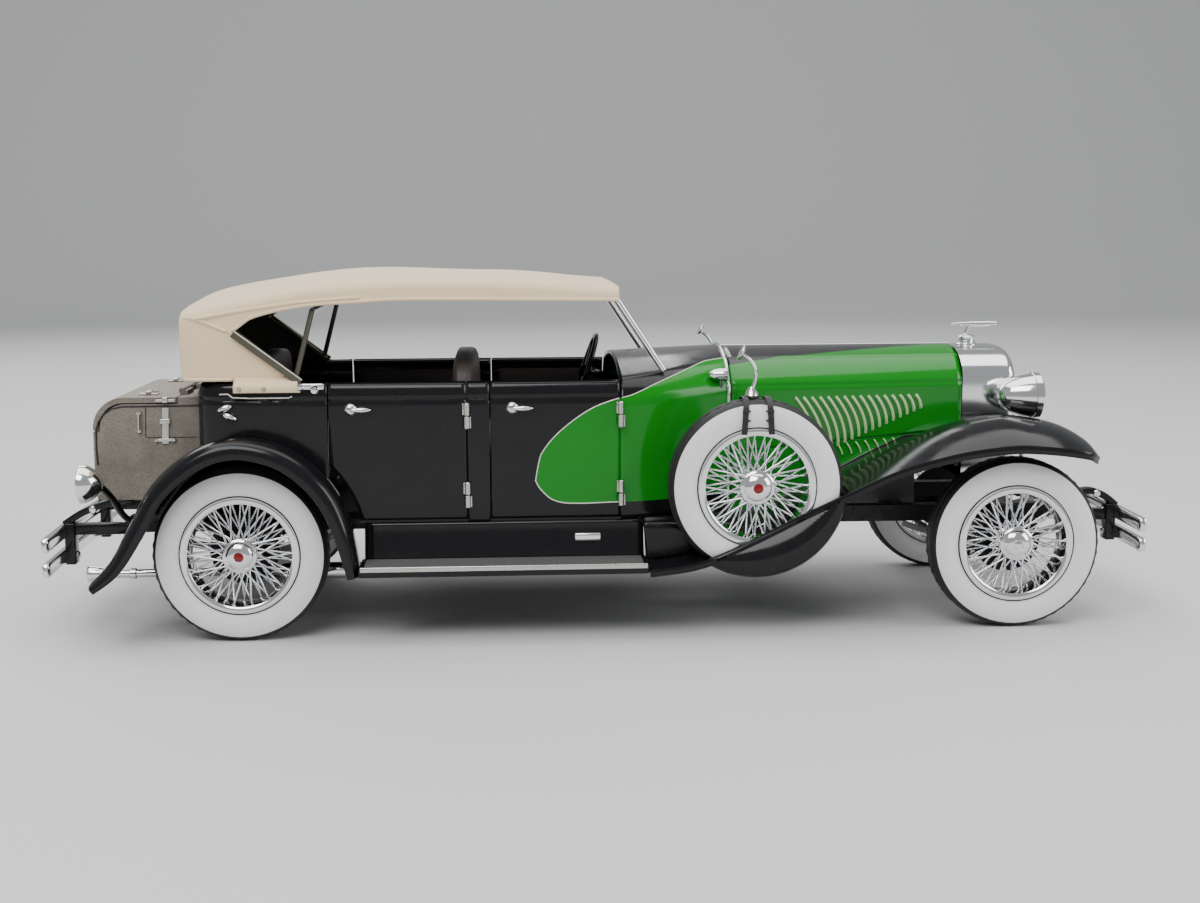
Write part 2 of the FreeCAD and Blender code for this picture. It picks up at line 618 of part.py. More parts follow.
def cowl_section(x, share, inset, lift):
    """Section between the body's (share 0) and the hood's (share 1), moved in by inset."""
    taper = share ** value("cowl_fullness")
    half = (1 - taper) * (value("body_half") - 0.7) + taper * value("hood_rear_half") - inset
    seam = (1 - share) * 60.5 + share * value("hood_seam")
    crown = (1 - share) * 70.4 + share * value("hood_top") - inset
    crease = Vector(x, -half + (1 - share) * 4.5 + share * 8.0, crown - (1 - share) * 4.2 - share * 2.4)
    low = value("body_low") + lift
    foot = Vector(x, -half + (1 - share), low)
    side = Vector(x, -half, seam)
    corner = Vector(x, crease.y - 0.35 * (crease.y - side.y) - 0.9, crease.z - 0.35 * (crease.z - side.z) + 0.3)
    top = Vector(x, 0, crown)
    flip = [Vector(spot.x, -spot.y, spot.z) for spot in (foot, side, corner, crease)]
    edges = [Part.LineSegment(foot, side), Part.Arc(side, corner, crease), Part.Arc(crease, top, flip[3]),
             Part.Arc(flip[3], flip[2], flip[1]), Part.LineSegment(flip[1], flip[0]),
             Part.LineSegment(flip[0], foot)]
    return Part.Wire([edge.toShape() for edge in edges])


def cowl_solid(inset, lift, reach=0.0, short=0.0):
    rear = value("cowl_rear")
    length = value("cowl_front") - rear
    shares = (0.0, 0.25, 0.5, 0.75, 1.0)
    sections = []
    for share in shares:
        x = rear + share * (length - short)
        sections.append(cowl_section(x if share else x - reach, share, inset, lift))
    return Part.makeLoft(sections, True, True)


def cowl():
    wall = value("cowl_wall")
    hollow = cowl_solid(wall, value("floor_thickness"), reach=1.0, short=wall)
    feature("cowl", cowl_solid(0.0, 0.0).cut(hollow))


def dashboard():
    x = value("dash_x")
    room = cowl_solid(value("cowl_wall") + value("part_gap"), value("floor_thickness"), reach=1.0)
    panel = block((x, -40.0, value("dash_low")), (x + value("dash_thickness"), 40.0, 80.0))
    centre, towards = steering_line()
    bore = Part.makeCylinder(value("column_radius + part_gap"), value("column_length"),
                             centre - towards * value("column_length"), towards)
    feature("dashboard", room.common(panel).cut(bore))


# ---------------------------------------------------------------- hood, radiator and engine

def hood_section(x, share, side):
    """Closed sheet section of one hood half, from the middle hinge down to its lower edge."""
    thick = value("hood_thickness")
    half = (1 - share) * value("hood_rear_half") + share * value("hood_front_half")
    low = (1 - share) * value("hood_rear_low") + share * value("hood_front_low")
    edge = value("hood_hinge_radius + part_gap")

    def skin(inset):
        crown = value("hood_top") - inset
        crease = Vector(x, -half + inset + 8.0 - 2.0 * share, crown - 2.4)
        shoulder = Vector(x, -half + inset, value("hood_seam"))
        corner = Vector(x, crease.y - 0.35 * (crease.y - shoulder.y) - 0.9,
                        crease.z - 0.35 * (crease.z - shoulder.z) + 0.3)
        middle = Vector(x, (crease.y - edge) / 2, crown - 0.5)
        return [Vector(x, -edge, crown), middle, crease, corner, shoulder, Vector(x, -half + inset, low)]

    outer = [Vector(spot.x, -side * spot.y, spot.z) for spot in skin(0.0)]
    inner = [Vector(spot.x, -side * spot.y, spot.z) for spot in skin(thick)]
    edges = [Part.Arc(*outer[0:3]), Part.Arc(*outer[2:5]), Part.LineSegment(outer[4], outer[5]),
             Part.LineSegment(outer[5], inner[5]), Part.LineSegment(inner[5], inner[4]),
             Part.Arc(inner[4], inner[3], inner[2]), Part.Arc(inner[2], inner[1], inner[0]),
             Part.LineSegment(inner[0], outer[0])]
    return Part.Wire([item.toShape() for item in edges])


def hood():
    rear = value("cowl_front + part_gap")
    front = value("hood_front - part_gap")
    for name, side in SIDES:
        sections = [hood_section(rear, 0.0, side), hood_section(front, 1.0, side)]
        feature("hood_" + name, Part.makeLoft(sections, True, True))
    cylinder("hood_hinge_rod", "hood_hinge_radius", "hood_front - cowl_front", axis="x", x="cowl_front",
             z="hood_top - hood_thickness / 2")


def radiator_outline(inset):
    half = "radiator_half - %s" % inset
    low = "radiator_low + %s" % inset
    shoulder = "radiator_shoulder"
    rise = "radiator_top - radiator_shoulder - %s" % inset
    return [("-1 * ( %s )" % half, low), (half, low),
            (half, shoulder, "( radiator_half ^ 2 + ( %s ) ^ 2 ) / 2 / ( %s )" % (rise, rise), 1),
            ("-1 * ( %s )" % half, shoulder)]


def radiator():
    shell = new_body("radiator_shell", x="hood_front + radiator_length / 2")
    pad(shell, "YZ_Plane", radiator_outline("0"), "radiator_length")
    pocket(shell, "YZ_Plane", radiator_outline("radiator_rim"), "radiator_length + 2")
    core = new_body("radiator_core", x="hood_front + radiator_length / 2")
    pad(core, "YZ_Plane", radiator_outline("( radiator_rim + part_gap )"), "radiator_length - core_setback * 2")


def hood_ornament():
    """Screw cap with a short stem and a plain tapered bar."""
    cap = cylinder("cap", "cap_size", "1.8", x="cap_x", z="radiator_top - 0.1")
    stem = cylinder("stem", "0.5", "ornament_z - radiator_top", x="cap_x", z="radiator_top")
    start = "cap_x + 9.2"
    wing = primitive("Cone", "wing", {"Radius1": "0.5", "Radius2": "0.9", "Height": "ornament_length"},
                     axis=(0, 1, 0), angle=-90.0, x=start, z="ornament_z")
    fuse("hood_ornament", [cap, stem, wing])


def engine():
    half = ("-1 * engine_half", "engine_half")
    block_item = box("block", ("engine_rear", "engine_front"), half, ("engine_low", "engine_deck"))
    head = box("head", ("engine_rear + 2", "engine_front - 2"),
               ("-1 * engine_half + 1.5", "engine_half - 1.5"), ("engine_deck", "engine_top"))
    feet = box("feet", ("engine_rear + 4", "engine_rear + 10"),
               ("-1 * rail_y + rail_width / 2", "rail_y - rail_width / 2"), ("engine_low", "engine_low + 2"))
    feet_front = box("feet_front", ("engine_front - 10", "engine_front - 4"),
                     ("-1 * rail_y + rail_width / 2", "rail_y - rail_width / 2"),
                     ("engine_low", "engine_low + 2"))
    manifold = cylinder("manifold", "1.5", "engine_front - engine_rear - 8", axis="x", x="engine_rear + 4",
                        y="-1 * engine_half - 3", z="engine_deck - 3")
    items = [block_item, head, feet, feet_front, manifold]
    for number in range(4):
        items.append(cylinder("port_%d" % number, "1.1", "3.5", axis="y", x="engine_rear + %d" % (8 + 9 * number),
                              y="-1 * engine_half - 3", z="engine_deck - 3"))
    items.append(cylinder("fan_shaft", "fan_shaft", "fan_x + fan_blade - engine_front + 1", axis="x",
                          x="engine_front", z="fan_z"))
    fuse("engine", items)


def cooling_fan():
    items = [cylinder("fan_hub", "fan_shaft + 1.2", "fan_blade - 1", axis="x", x="fan_x", z="fan_z")]
    for number in range(2):
        blade = primitive("Box", "blade_%d" % number,
                          {"Length": "fan_blade / 3", "Width": "fan_radius * 2", "Height": "fan_blade"},
                          x="fan_x + 0.5")
        turn = Rotation(Vector(1, 0, 0), 45.0 + 90.0 * number)
        offset = turn.multVec(Vector(0, -value("fan_radius"), -value("fan_blade") / 2))
        blade.Placement = Placement(Vector(), turn)
        place(blade, x="fan_x + 0.5", y="%.5f" % offset.y, z="fan_z + %.5f" % offset.z)
        items.append(blade)
    bore = cylinder("fan_bore", "fan_shaft + running_gap", "fan_blade * 2", axis="x", x="fan_x - 1", z="fan_z")
    cut("cooling_fan", fuse("fan_solid", items), bore)


# ---------------------------------------------------------------- lamps

def bullet(name, radius, length, recess, **where):
    """Hollow-faced bullet about x: its face is at x = 0 and its tail at -length."""
    body = new_body(name, **where)
    revolve(body, "XZ_Plane", [
        ("-1 * " + recess, "0"), ("-1 * " + recess, radius + " - 0.6"), ("0", radius + " - 0.6"),
        ("0", radius), ("-0.25 * " + length, radius), ("-0.6 * " + length, "0.86 * " + radius),
        ("-0.88 * " + length, "0.5 * " + radius), ("-1 * " + length, "0")], "H_Axis")
    return body


def lamps():
    shells = []
    lenses = []
    for name, side in SIDES:
        y = "%d * lamp_y" % side
        shells.append(bullet("headlamp_" + name, "lamp_radius", "lamp_length", "( lens_thickness + 0.4 )",
                             x="lamp_x", y=y, z="lamp_z"))
        lenses.append(cylinder("lens_" + name, "lamp_radius - 0.65", "lens_thickness", axis="x",
                               x="lamp_x - lens_thickness - 0.3", y=y, z="lamp_z"))
    group("headlamps", shells)
    group("headlamp_lenses", lenses)
    level = "lamp_z - lamp_radius - lamp_bar_radius - part_gap / 2"
    bar = [cylinder("lamp_bar", "lamp_bar_radius", "2 * ( lamp_y - lamp_bar_short )", axis="y", x="lamp_bar_x",
                    y="-1 * lamp_y + lamp_bar_short", z=level)]
    for name, side in SIDES:
        bar.append(cylinder("lamp_post_" + name, "lamp_bar_radius", level + " - body_low", x="lamp_bar_x",
                            y="%d * lamp_post_y" % side, z="body_low"))
    fuse("headlamp_bar", bar)
    small = []
    for name, side in SIDES:
        y = "%d * cowl_lamp_y" % side
        shell = bullet("cowl_bullet_" + name, "cowl_lamp_radius", "cowl_lamp_length", "0.4",
                       x="cowl_lamp_x", y=y, z="cowl_lamp_z")
        foot = rod("cowl_stalk_" + name,
                   (value("cowl_lamp_x") - 1.6, side * value("cowl_lamp_y"), value("cowl_lamp_z") - 1.0),
                   (value("cowl_lamp_x") - 1.6, side * (value("hood_rear_half") + 1.2), value("hood_seam") - 0.5),
                   "0.6")
        small.append(fuse("cowl_lamp_" + name, [shell, foot]))
    cut("cowl_lamps", group("cowl_lamp_pair", small), feature("cowl_lamp_trim", cowl_solid(0.0, 0.0)))


def tail_lamps():
    items = []
    for name, side in SIDES:
        y = "%d * tail_lamp_y" % side
        shell = new_body("tail_bullet_" + name, x="tail_lamp_x", y=y, z="tail_lamp_z")
        revolve(shell, "XZ_Plane", [("0", "0"), ("tail_lamp_length", "0"), ("tail_lamp_length - 1.5", "2.6"),
                                    ("tail_lamp_length / 2", "tail_lamp_radius"), ("0", "tail_lamp_radius")],
                "H_Axis")
        start = (value("tail_lamp_x + tail_lamp_length - 1.5"), side * value("tail_lamp_y"), value("tail_lamp_z"))
        end = (value("rail_rear") + 2.0, side * value("rail_y + rail_width / 2"), value("body_low") - 2.0)
        arm = rod("tail_arm_" + name, start, end, "1.0")
        items.append(fuse("tail_lamp_" + name, [shell, arm]))
    whole = group("tail_lamp_group", items)
    cut("tail_lamps", whole, box("tail_trim", ("rail_rear", "rail_front"),
                                 ("-1 * rail_y - rail_width / 2", "rail_y + rail_width / 2"),
                                 ("rail_low", "body_low")))


# ---------------------------------------------------------------- fenders and running boards

def sheet_section(spot, along, side, outer_y, inner_y, dome, inner_share):
    """Thin closed section across a fender at one point of its outer edge."""
    normal = Vector(-along.z, 0, along.x).normalize()
    thick = value("fender_thickness")
    crown_y = min(value("fender_crown_y"), outer_y - 2.0)
    rows = ((outer_y, 0.0), (crown_y, dome), (inner_y, dome * inner_share))

    def row(drop):
        return [Vector(spot.x, 0, spot.z) + normal * (rise - drop) + Vector(0, side * y, 0) for y, rise in rows]

    top = row(0.0)
    under = row(thick)
    edges = [Part.Arc(*top), Part.LineSegment(top[2], under[2]), Part.Arc(*reversed(under)),
             Part.LineSegment(under[0], top[0])]
    return Part.Wire([edge.toShape() for edge in edges])


def sheet_loft(stations, side):
    """Fender skin through stations of (x, z, outer y, inner y, dome, inner share)."""
    spots = [Vector(station[0], 0, station[1]) for station in stations]
    wires = []
    for index, station in enumerate(stations):
        before = spots[max(index - 1, 0)]
        after = spots[min(index + 1, len(spots) - 1)]
        wires.append(sheet_section(spots[index], after - before, side, *station[2:]))
    return Part.makeLoft(wires, True, True)


def front_fender_stations():
    """From the running board up over the front wheel, measured from the front axle."""
    axle = value("front_axle_x")
    out = value("fender_out")
    board = value("board_top")
    rows = ((-96.8, board - 1.9, 0.3, 39.4), (-84.0, board, 0.5, 39.0), (-71.0, 25.7, 0.8, 36.0),
            (-58.0, 32.0, 1.0, 31.5), (-45.5, 37.7, 1.2, 28.0), (-32.7, 43.2, 2.0, 26.0),
            (-17.2, 47.2, 4.2, 24.6), (-4.3, 48.8, 5.2, 24.0), (3.5, 48.7, 5.0, 24.0),
            (11.3, 47.9, 4.3, 24.6), (17.5, 46.7, 2.6, 26.0), (20.7, 45.2, 0.8, 29.0))
    narrow = {17.5: 1.6, 20.7: 5.0}
    return [(axle + x, z, out - narrow.get(x, 0.0), inner, dome, 0.8) for x, z, dome, inner in rows]


def well_drum(grow, side):
    """Cylinder about a spare wheel, larger than its tyre by the well's gap and by grow."""
    half = value("tyre_width / 2 + well_gap") + grow
    middle = side * value("spare_y")
    start = Vector(value("spare_x"), middle - half, value("spare_z"))
    return Part.makeCylinder(value("tyre_radius + well_gap") + grow, 2 * half, start, Vector(0, 1, 0))


def front_fenders():
    items = []
    for name, side in SIDES:
        stations = front_fender_stations()
        skin = sheet_loft(stations, side)
        lower = [Vector(x, 0, z - value("fender_thickness") / 2) for x, z, *_ in stations]
        ends = [Vector(lower[-1].x, 0, 0), Vector(lower[0].x, 0, 0)]
        under = Part.makePolygon(lower + ends + [lower[0]])
        below = Part.Face(under).extrude(Vector(0, 120, 0)).translated(Vector(0, -60, 0))
        pocket_solid = well_drum(value("well_wall"), side).common(below)
        item = skin.fuse(pocket_solid).cut(well_drum(0.0, side))
        items.append(feature("front_fender_" + name, item))
    group("front_fenders", items)


def rear_fender_stations():
    """Around the rear wheel from behind to the running board, measured from the rear axle."""
    axle = value("front_axle_x - wheelbase")
    out = value("fender_out")
    inner = value("rear_fender_inner")
    rows = ((-36.8, 16.1, 34.0), (-31.2, 21.6, 34.0), (-25.9, 30.7, 34.0), (-20.5, 40.2, 34.0),
            (-12.9, 47.2, 36.5), (-5.4, 50.9, inner), (2.4, 51.8, inner), (11.8, 49.3, inner),
            (19.1, 44.2, inner), (24.4, 37.6, inner), (27.6, 29.9, inner), (29.2, 22.2, inner),
            (29.8, 17.5, inner))
    return [(axle + x, z, out, edge, 1.2, 0.6) for x, z, edge in rows]


def rear_fenders():
    items = [feature("rear_fender_" + name, sheet_loft(rear_fender_stations(), side)) for name, side in SIDES]
    group("rear_fenders", items)


def running_boards():
    boards = []
    aprons = []
    for name, side in SIDES:
        out = "%d * fender_out" % side
        apron = "%d * apron_out" % side
        behind = "%d * ( apron_out - apron_thickness )" % side
        across = (behind, out) if side > 0 else (out, behind)
        boards.append(box("board_" + name, ("board_rear", "board_front"), across,
                          ("board_top - board_thickness", "board_top")))
        across = (behind, apron) if side > 0 else (apron, behind)
        aprons.append(box("apron_" + name, ("board_rear + 1", "board_front - 0.6"), across,
                          ("board_top", "body_low")))
    group("running_boards", boards)
    group("splash_aprons", aprons)


# ---------------------------------------------------------------- windshield and top

def windshield():
    low = Vector(value("windshield_low_x"), 0, value("windshield_low_z"))
    high = Vector(value("windshield_top_x"), 0, value("windshield_top_z"))
    half = value("windshield_half")
    radius = value("post_radius")
    rise = high - low
    posts = []
    for name, side in SIDES:
        shift = Vector(0, side * half, 0)
        foot = low + rise * (value("post_lift") / rise.Length)
        posts.append(rod("post_" + name, tuple(foot + shift), tuple(high + shift), "post_radius"))
    header = high - rise * (1.2 * radius / rise.Length)
    posts.append(rod("header", tuple(header + Vector(0, -half, 0)), tuple(header + Vector(0, half, 0)),
                     "header_radius"))
    fuse("windshield_frame", posts)
    width = 2 * (half - radius)
    pane = Part.makeBox(value("glass_thickness"), width, rise.Length - 2.2 * radius)
    pane.translate(Vector(-value("glass_thickness") / 2, -width / 2, 0))
    pane.Placement = Placement(low, Rotation(Vector(0, 0, 1), rise)) * pane.Placement
    feature("windshield_glass", pane.cut(cowl_solid(0.0, 0.0)))


def top_section(x, half, low, edge, crown):
    """Section of the folding top: upright sides, rounded shoulders and a crowned roof."""
    side = [Vector(x, -half, low), Vector(x, -half, edge)]
    shoulder = Vector(x, -half + 0.9, edge + 1.6)
    start = Vector(x, -half + 3.2, edge + 2.4)
    flip = [Vector(spot.x, -spot.y, spot.z) for spot in side + [shoulder, start]]
    edges = [Part.LineSegment(*side), Part.Arc(side[1], shoulder, start), Part.Arc(start, Vector(x, 0, crown), flip[3]),
             Part.Arc(flip[3], flip[2], flip[1]), Part.LineSegment(flip[1], flip[0]),
             Part.LineSegment(flip[0], side[0])]
    return Part.Wire([edge_item.toShape() for edge_item in edges])


def top_solid(inset):
    """The top's outside, or the same surface moved in by inset."""
    rear = value("top_rear")
    length = value("top_front") - rear
    half = value("top_half")
    low = value("top_low") - 4.0 * (inset > 0)
    rows = ((0.0, 1.2, 81.0, 85.4), (0.045, 0.4, 82.5, 88.0), (0.15, 0.0, 85.2, 90.9), (0.3, 0.0, 88.2, 93.2),
            (0.5, 0.0, 89.8, 94.1), (0.7, 0.0, 89.6, 93.3), (0.86, 0.0, 88.8, 91.9), (1.0, 0.0, 87.6, 90.3))
    wires = []
    for share, taper, edge, crown in rows:
        x = rear + share * length
        if inset and share == 0.0:
            x += inset
        if inset and share == 1.0:
            x += 1.0
        wires.append(top_section(x, half - taper - inset, low, edge - inset, crown - inset))
    return Part.makeLoft(wires, True, True)


def soft_top():
    """Skin of the raised top, open below and at its sides ahead of the rear quarters."""
    skin = top_solid(0.0).cut(top_solid(value("top_skin")))
    rear = value("top_rear")
    length = value("top_front") - rear
    low = value("top_low")
    edge = [(0.115, 78.9), (0.165, 82.5), (0.28, 85.3), (0.39, 86.2), (0.5, 86.8), (0.66, 86.7), (1.1, 86.6)]
    points = [Vector(rear + share * length, 0, z) for share, z in edge]
    points += [Vector(value("top_front") + 12.0, 0, low - 6.0), Vector(rear + 0.22 * length + 12.0, 0, low - 6.0),
               Vector(rear + 0.265 * length, 0, low)]
    side_gap = Part.Face(Part.makePolygon(points + [points[0]])).extrude(Vector(0, 120, 0))
    feature("soft_top", skin.cut(side_gap.translated(Vector(0, -60, 0))))


def top_irons():
    """Bows and irons that hold the top: two slanted bars a side and a cross bow."""
    y = value("iron_y")
    foot = Vector(value("iron_foot_x"), 0, value("iron_foot_z"))
    bow = foot + Vector(4.6, 0, 17.4)
    brace = foot + Vector(-15.2, 0, 12.2)
    items = []
    for name, side in SIDES:
        shift = Vector(0, side * y, 0)
        items.append(rod("bow_" + name, tuple(foot + shift), tuple(bow + shift), "iron_radius"))
        items.append(rod("brace_" + name, tuple(foot + shift), tuple(brace + shift), "iron_radius"))
        items.append(primitive("Sphere", "pivot_" + name, {"Radius": "iron_radius + 0.3"}, x="iron_foot_x",
                               y="%d * iron_y" % side, z="iron_foot_z"))
    items.append(rod("cross_bow", tuple(bow + Vector(0, -y, 0)), tuple(bow + Vector(0, y, 0)), "iron_radius"))
    fuse("top_irons", items)


# ---------------------------------------------------------------- cabin

def seats():
    across = ("-1 * seat_half", "seat_half")
    for name, front in (("front_seat", "-16"), ("rear_seat", "-70")):
        cushion = box(name + "_cushion", (front + " - 18", front), across, ("seat_low", "seat_top"))
        back = box(name + "_back", (front + " - 23", front + " - 18"), across, ("seat_low", "seat_back_top"))
        fuse(name, [cushion, back])


def steering_line():
    """Centre of the steering wheel and the column's direction towards the driver."""
    tilt = math.radians(value("steering_tilt"))
    towards = Vector(-math.cos(tilt), 0, math.sin(tilt))
    return Vector(value("steering_x"), value("steering_y"), value("steering_z")), towards


def steering():
    """Fixed column with a shaft end, and the wheel that turns on it."""
    centre, towards = steering_line()
    turn = Rotation(Vector(0, 0, 1), towards)
    shaft = rod("column_shaft", tuple(centre - towards * 3.0), tuple(centre + towards * 0.8), "0.6")
    tube = rod("column_tube", tuple(centre - towards * value("column_length")), tuple(centre - towards * 2.6),
               "column_radius")
    fuse("steering_column", [shaft, tube])
    ring = doc.addObject("Part::Torus", "steering_ring")
    ring.setExpression("Radius1", bind("steering_radius"))
    ring.setExpression("Radius2", bind("steering_grip"))
    ring.Placement = Placement(centre, turn)
    items = [ring, rod("steering_hub", tuple(centre - towards * 1.6), tuple(centre + towards * 1.6), "1.6")]
    for number in range(4):
        angle = math.radians(45.0 + 90.0 * number)
        tip = turn.multVec(Vector(math.cos(angle), math.sin(angle), 0)) * value("steering_radius")
        items.append(rod("steering_spoke_%d" % number, tuple(centre), tuple(centre + tip), "0.45"))
    bore = rod("steering_bore", tuple(centre - towards * 3.0), tuple(centre + towards * 1.0),
               "0.6 + running_gap")
    cut("steering_wheel", fuse("steering_solid", items), bore)


# ---------------------------------------------------------------- trunk

def trunk_arc(inset):
    """Corner points of the trunk's rear top corner, moved in by inset."""
    rear = "trunk_rear + %s" % inset
    top = "trunk_top - %s" % inset
    return rear, top


def trunk():
    rear, top = trunk_arc("( trunk_wall )")
    box_body = new_body("trunk_case")
    corner = "lid_corner - trunk_wall"
    pad(box_body, "XZ_Plane", [
        ("trunk_front", "trunk_low"), ("trunk_front", "trunk_top"), ("lid_front + part_gap", "trunk_top"),
        ("lid_front + part_gap", top + " - part_gap"),
        ("trunk_rear + lid_corner + part_gap", top + " - part_gap", corner, 1),
        (rear + " + part_gap", "trunk_top - lid_corner - part_gap"),
        (rear + " + part_gap", "lid_low - part_gap"), ("trunk_rear", "lid_low - part_gap"),
        ("trunk_rear", "trunk_low + 2", "2", 1), ("trunk_rear + 2", "trunk_low")], "trunk_half * 2")
    pocket(box_body, "XZ_Plane", [
        ("trunk_front - trunk_wall", "trunk_low + trunk_wall"),
        ("trunk_rear + trunk_wall * 2 + part_gap", "trunk_low + trunk_wall"),
        ("trunk_rear + trunk_wall * 2 + part_gap", "trunk_top + 3"), ("lid_front - 1", "trunk_top + 3"),
        ("lid_front - 1", "trunk_top - trunk_wall * 2"),
        ("trunk_front - trunk_wall", "trunk_top - trunk_wall * 2")], "( trunk_half - trunk_wall ) * 2")
    lid = new_body("lid_plate")
    pad(lid, "XZ_Plane", [
        ("lid_front", "trunk_top"), ("trunk_rear + lid_corner", "trunk_top", "lid_corner", 1),
        ("trunk_rear", "trunk_top - lid_corner"), ("trunk_rear", "lid_low"), (rear, "lid_low"),
        (rear, "trunk_top - lid_corner", corner, -1), ("trunk_rear + lid_corner", top),
        ("lid_front", top)], "trunk_half * 2")
    axis_x = "lid_front + part_gap / 2"
    axis_z = "trunk_top + lid_hinge_radius + part_gap / 2"
    fixed = [box_body]
    moving = [lid]
    for number, (low, high, owner) in enumerate(((-20, -12, fixed), (-11.7, -4, moving), (-3.7, 3.7, fixed),
                                                 (4, 11.7, moving), (12, 20, fixed))):
        owner.append(cylinder("trunk_barrel_%d" % number, "lid_hinge_radius", "%s" % (high - low), axis="y",
                              x=axis_x, y="%s" % low, z=axis_z))
        web = (axis_x, axis_x + " + 1.6") if owner is fixed else (axis_x + " - 1.6", axis_x)
        owner.append(box("trunk_web_%d" % number, web, ("%s" % low, "%s" % high),
                         ("trunk_top - 0.3", axis_z + " + 0.2")))
    pin = cylinder("trunk_pin", "lid_pin_radius", "40", axis="y", x=axis_x, y="-20", z=axis_z)
    fuse("trunk_box", fixed + [pin])
    bore = cylinder("lid_bore", "lid_pin_radius + running_gap", "44", axis="y", x=axis_x, y="-22", z=axis_z)
    cut("trunk_lid", fuse("lid_solid", moving), bore)


# ---------------------------------------------------------------- bumpers and exhaust

def bumper(name, end, low, high):
    """Two bowed bars with a riser and a frame arm on each side."""
    items = []
    for number, level in enumerate((low, high)):
        turn = 0.0 if end > 0 else 180.0
        bar = new_body("%s_bar_%d" % (name, number), x="%d * ( half_length - bumper_bow )" % end, z=level,
                       axis=(0, 0, 1), angle=turn)
        inner = "bumper_bow - bar_depth"
        revolve(bar, "XZ_Plane", [(inner, "-1 * bar_height / 2"), ("bumper_bow - 0.8", "-1 * bar_height / 2"),
                                  ("bumper_bow", "-0.25 * bar_height"), ("bumper_bow", "0.25 * bar_height"),
                                  ("bumper_bow - 0.8", "bar_height / 2"), (inner, "bar_height / 2")],
                "V_Axis", angle=value("bumper_angle"))
        items.append(bar)
    face = "half_length - bar_depth + 0.4"
    start = "rail_front" if end > 0 else "-1 * rail_rear"
    for side_name, side in SIDES:
        middle = "%d * rail_y" % side
        lengths = (start, face) if end > 0 else ("-1 * ( %s )" % face, "-1 * ( %s )" % start)
        back = (face + " - 3", face) if end > 0 else ("-1 * ( %s )" % face, "-1 * ( %s - 3 )" % face)
        items.append(box("%s_arm_%s" % (name, side_name), lengths, (middle + " - 1.5", middle + " + 1.5"),
                         ("rail_low", "rail_low + 3.4")))
        items.append(box("%s_riser_%s" % (name, side_name), back, (middle + " - 1.5", middle + " + 1.5"),
                         (low + " - 1.5", high + " + 1.5")))
    fuse(name, items)


def exhaust_pipe():
    y = "-1 * exhaust_y"
    pipe = cylinder("pipe", "exhaust_radius", "exhaust_front - exhaust_rear", axis="x", x="exhaust_rear",
                    y=y, z="exhaust_z")
    flare = primitive("Cone", "flare", {"Radius1": "exhaust_radius * 1.9", "Radius2": "exhaust_radius",
                                        "Height": "6"}, axis=(0, 1, 0), angle=90.0, x="exhaust_rear", y=y,
                      z="exhaust_z")
    silencer = cylinder("silencer", "exhaust_radius * 2", "22", axis="x", x="exhaust_front - 24", y=y,
                        z="exhaust_z")
    items = [pipe, flare, silencer]
    for number, x in enumerate(("exhaust_rear + 20", "exhaust_front - 2")):
        items.append(box("hanger_%d" % number, (x, x + " + 2"), (y, "-1 * rail_y - rail_width / 2"),
                         ("exhaust_z", "rail_low + 2")))
    fuse("exhaust_pipe", items)


NODES = (
    ["chassis_frame", "front_axle", "rear_axle", "leaf_springs", "knuckle_right", "knuckle_left", "tie_rod",
     "steering_column", "steering_wheel"]
    + ["%s_%s_%s" % (kind, end, name) for kind in ("tyre", "wheel", "door", "handle")
       for end in ("front", "rear") for name, _ in SIDES]
    + ["body_shell", "cowl", "door_hinges", "hood_right", "hood_left", "hood_hinge_rod", "radiator_shell",
       "radiator_core", "hood_ornament", "engine", "cooling_fan", "headlamps", "headlamp_lenses",
       "headlamp_bar", "cowl_lamps", "front_fenders", "rear_fenders", "running_boards", "splash_aprons",
       "spare_tyres", "spare_wheels", "mirrors", "windshield_frame", "windshield_glass", "soft_top",
       "top_irons", "front_seat", "rear_seat", "dashboard", "trunk_box", "trunk_lid", "tail_lamps",
       "front_bumper", "rear_bumper", "exhaust_pipe"])


def build():
    chassis_frame()
    front_axle()
    rear_axle()
    for name, side in SIDES:
        knuckle(name, side)
    tie_rod()
    leaf_springs()
    road_wheels()
    spare_wheels()
    mirrors()
    body_shell()
    doors()
    door_hinges()
    door_handles()
    cowl()
    dashboard()
    hood()
    radiator()
    hood_ornament()
    engine()
    cooling_fan()
    lamps()
    tail_lamps()
    front_fenders()
    rear_fenders()
    running_boards()
    windshield()
    soft_top()
    top_irons()
    seats()
    steering()
    trunk()
    bumper("front_bumper", 1, "front_bar_low", "front_bar_high")
    bumper("rear_bumper", -1, "rear_bar_low", "rear_bar_high")
    exhaust_pipe()


def write():
    doc.recompute()
    for item in doc.Objects:
        if "Invalid" in item.State or "Error" in item.State:
            raise RuntimeError("%s did not build: %s" % (item.Label, item.State))
    os.makedirs("parts", exist_ok=True)
    for node in NODES:
        item = doc.getObjectsByLabel(node)[0]
        shape = item.Shape
        if shape.isNull() or not shape.isValid() or not shape.Solids:
            raise RuntimeError("%s has no valid solid" % node)
        shape.exportStep("parts/%s.step" % node)


build()
write()
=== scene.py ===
"""Looks of an open four-door touring car in 1:18 scale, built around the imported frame.

Shapes are worked out in millimetres and written in metres. The nose points to +X, the car's
left side is +Y and the ground is z = 0.
"""
import math

import bmesh
import bpy
from mathutils import Matrix, Vector


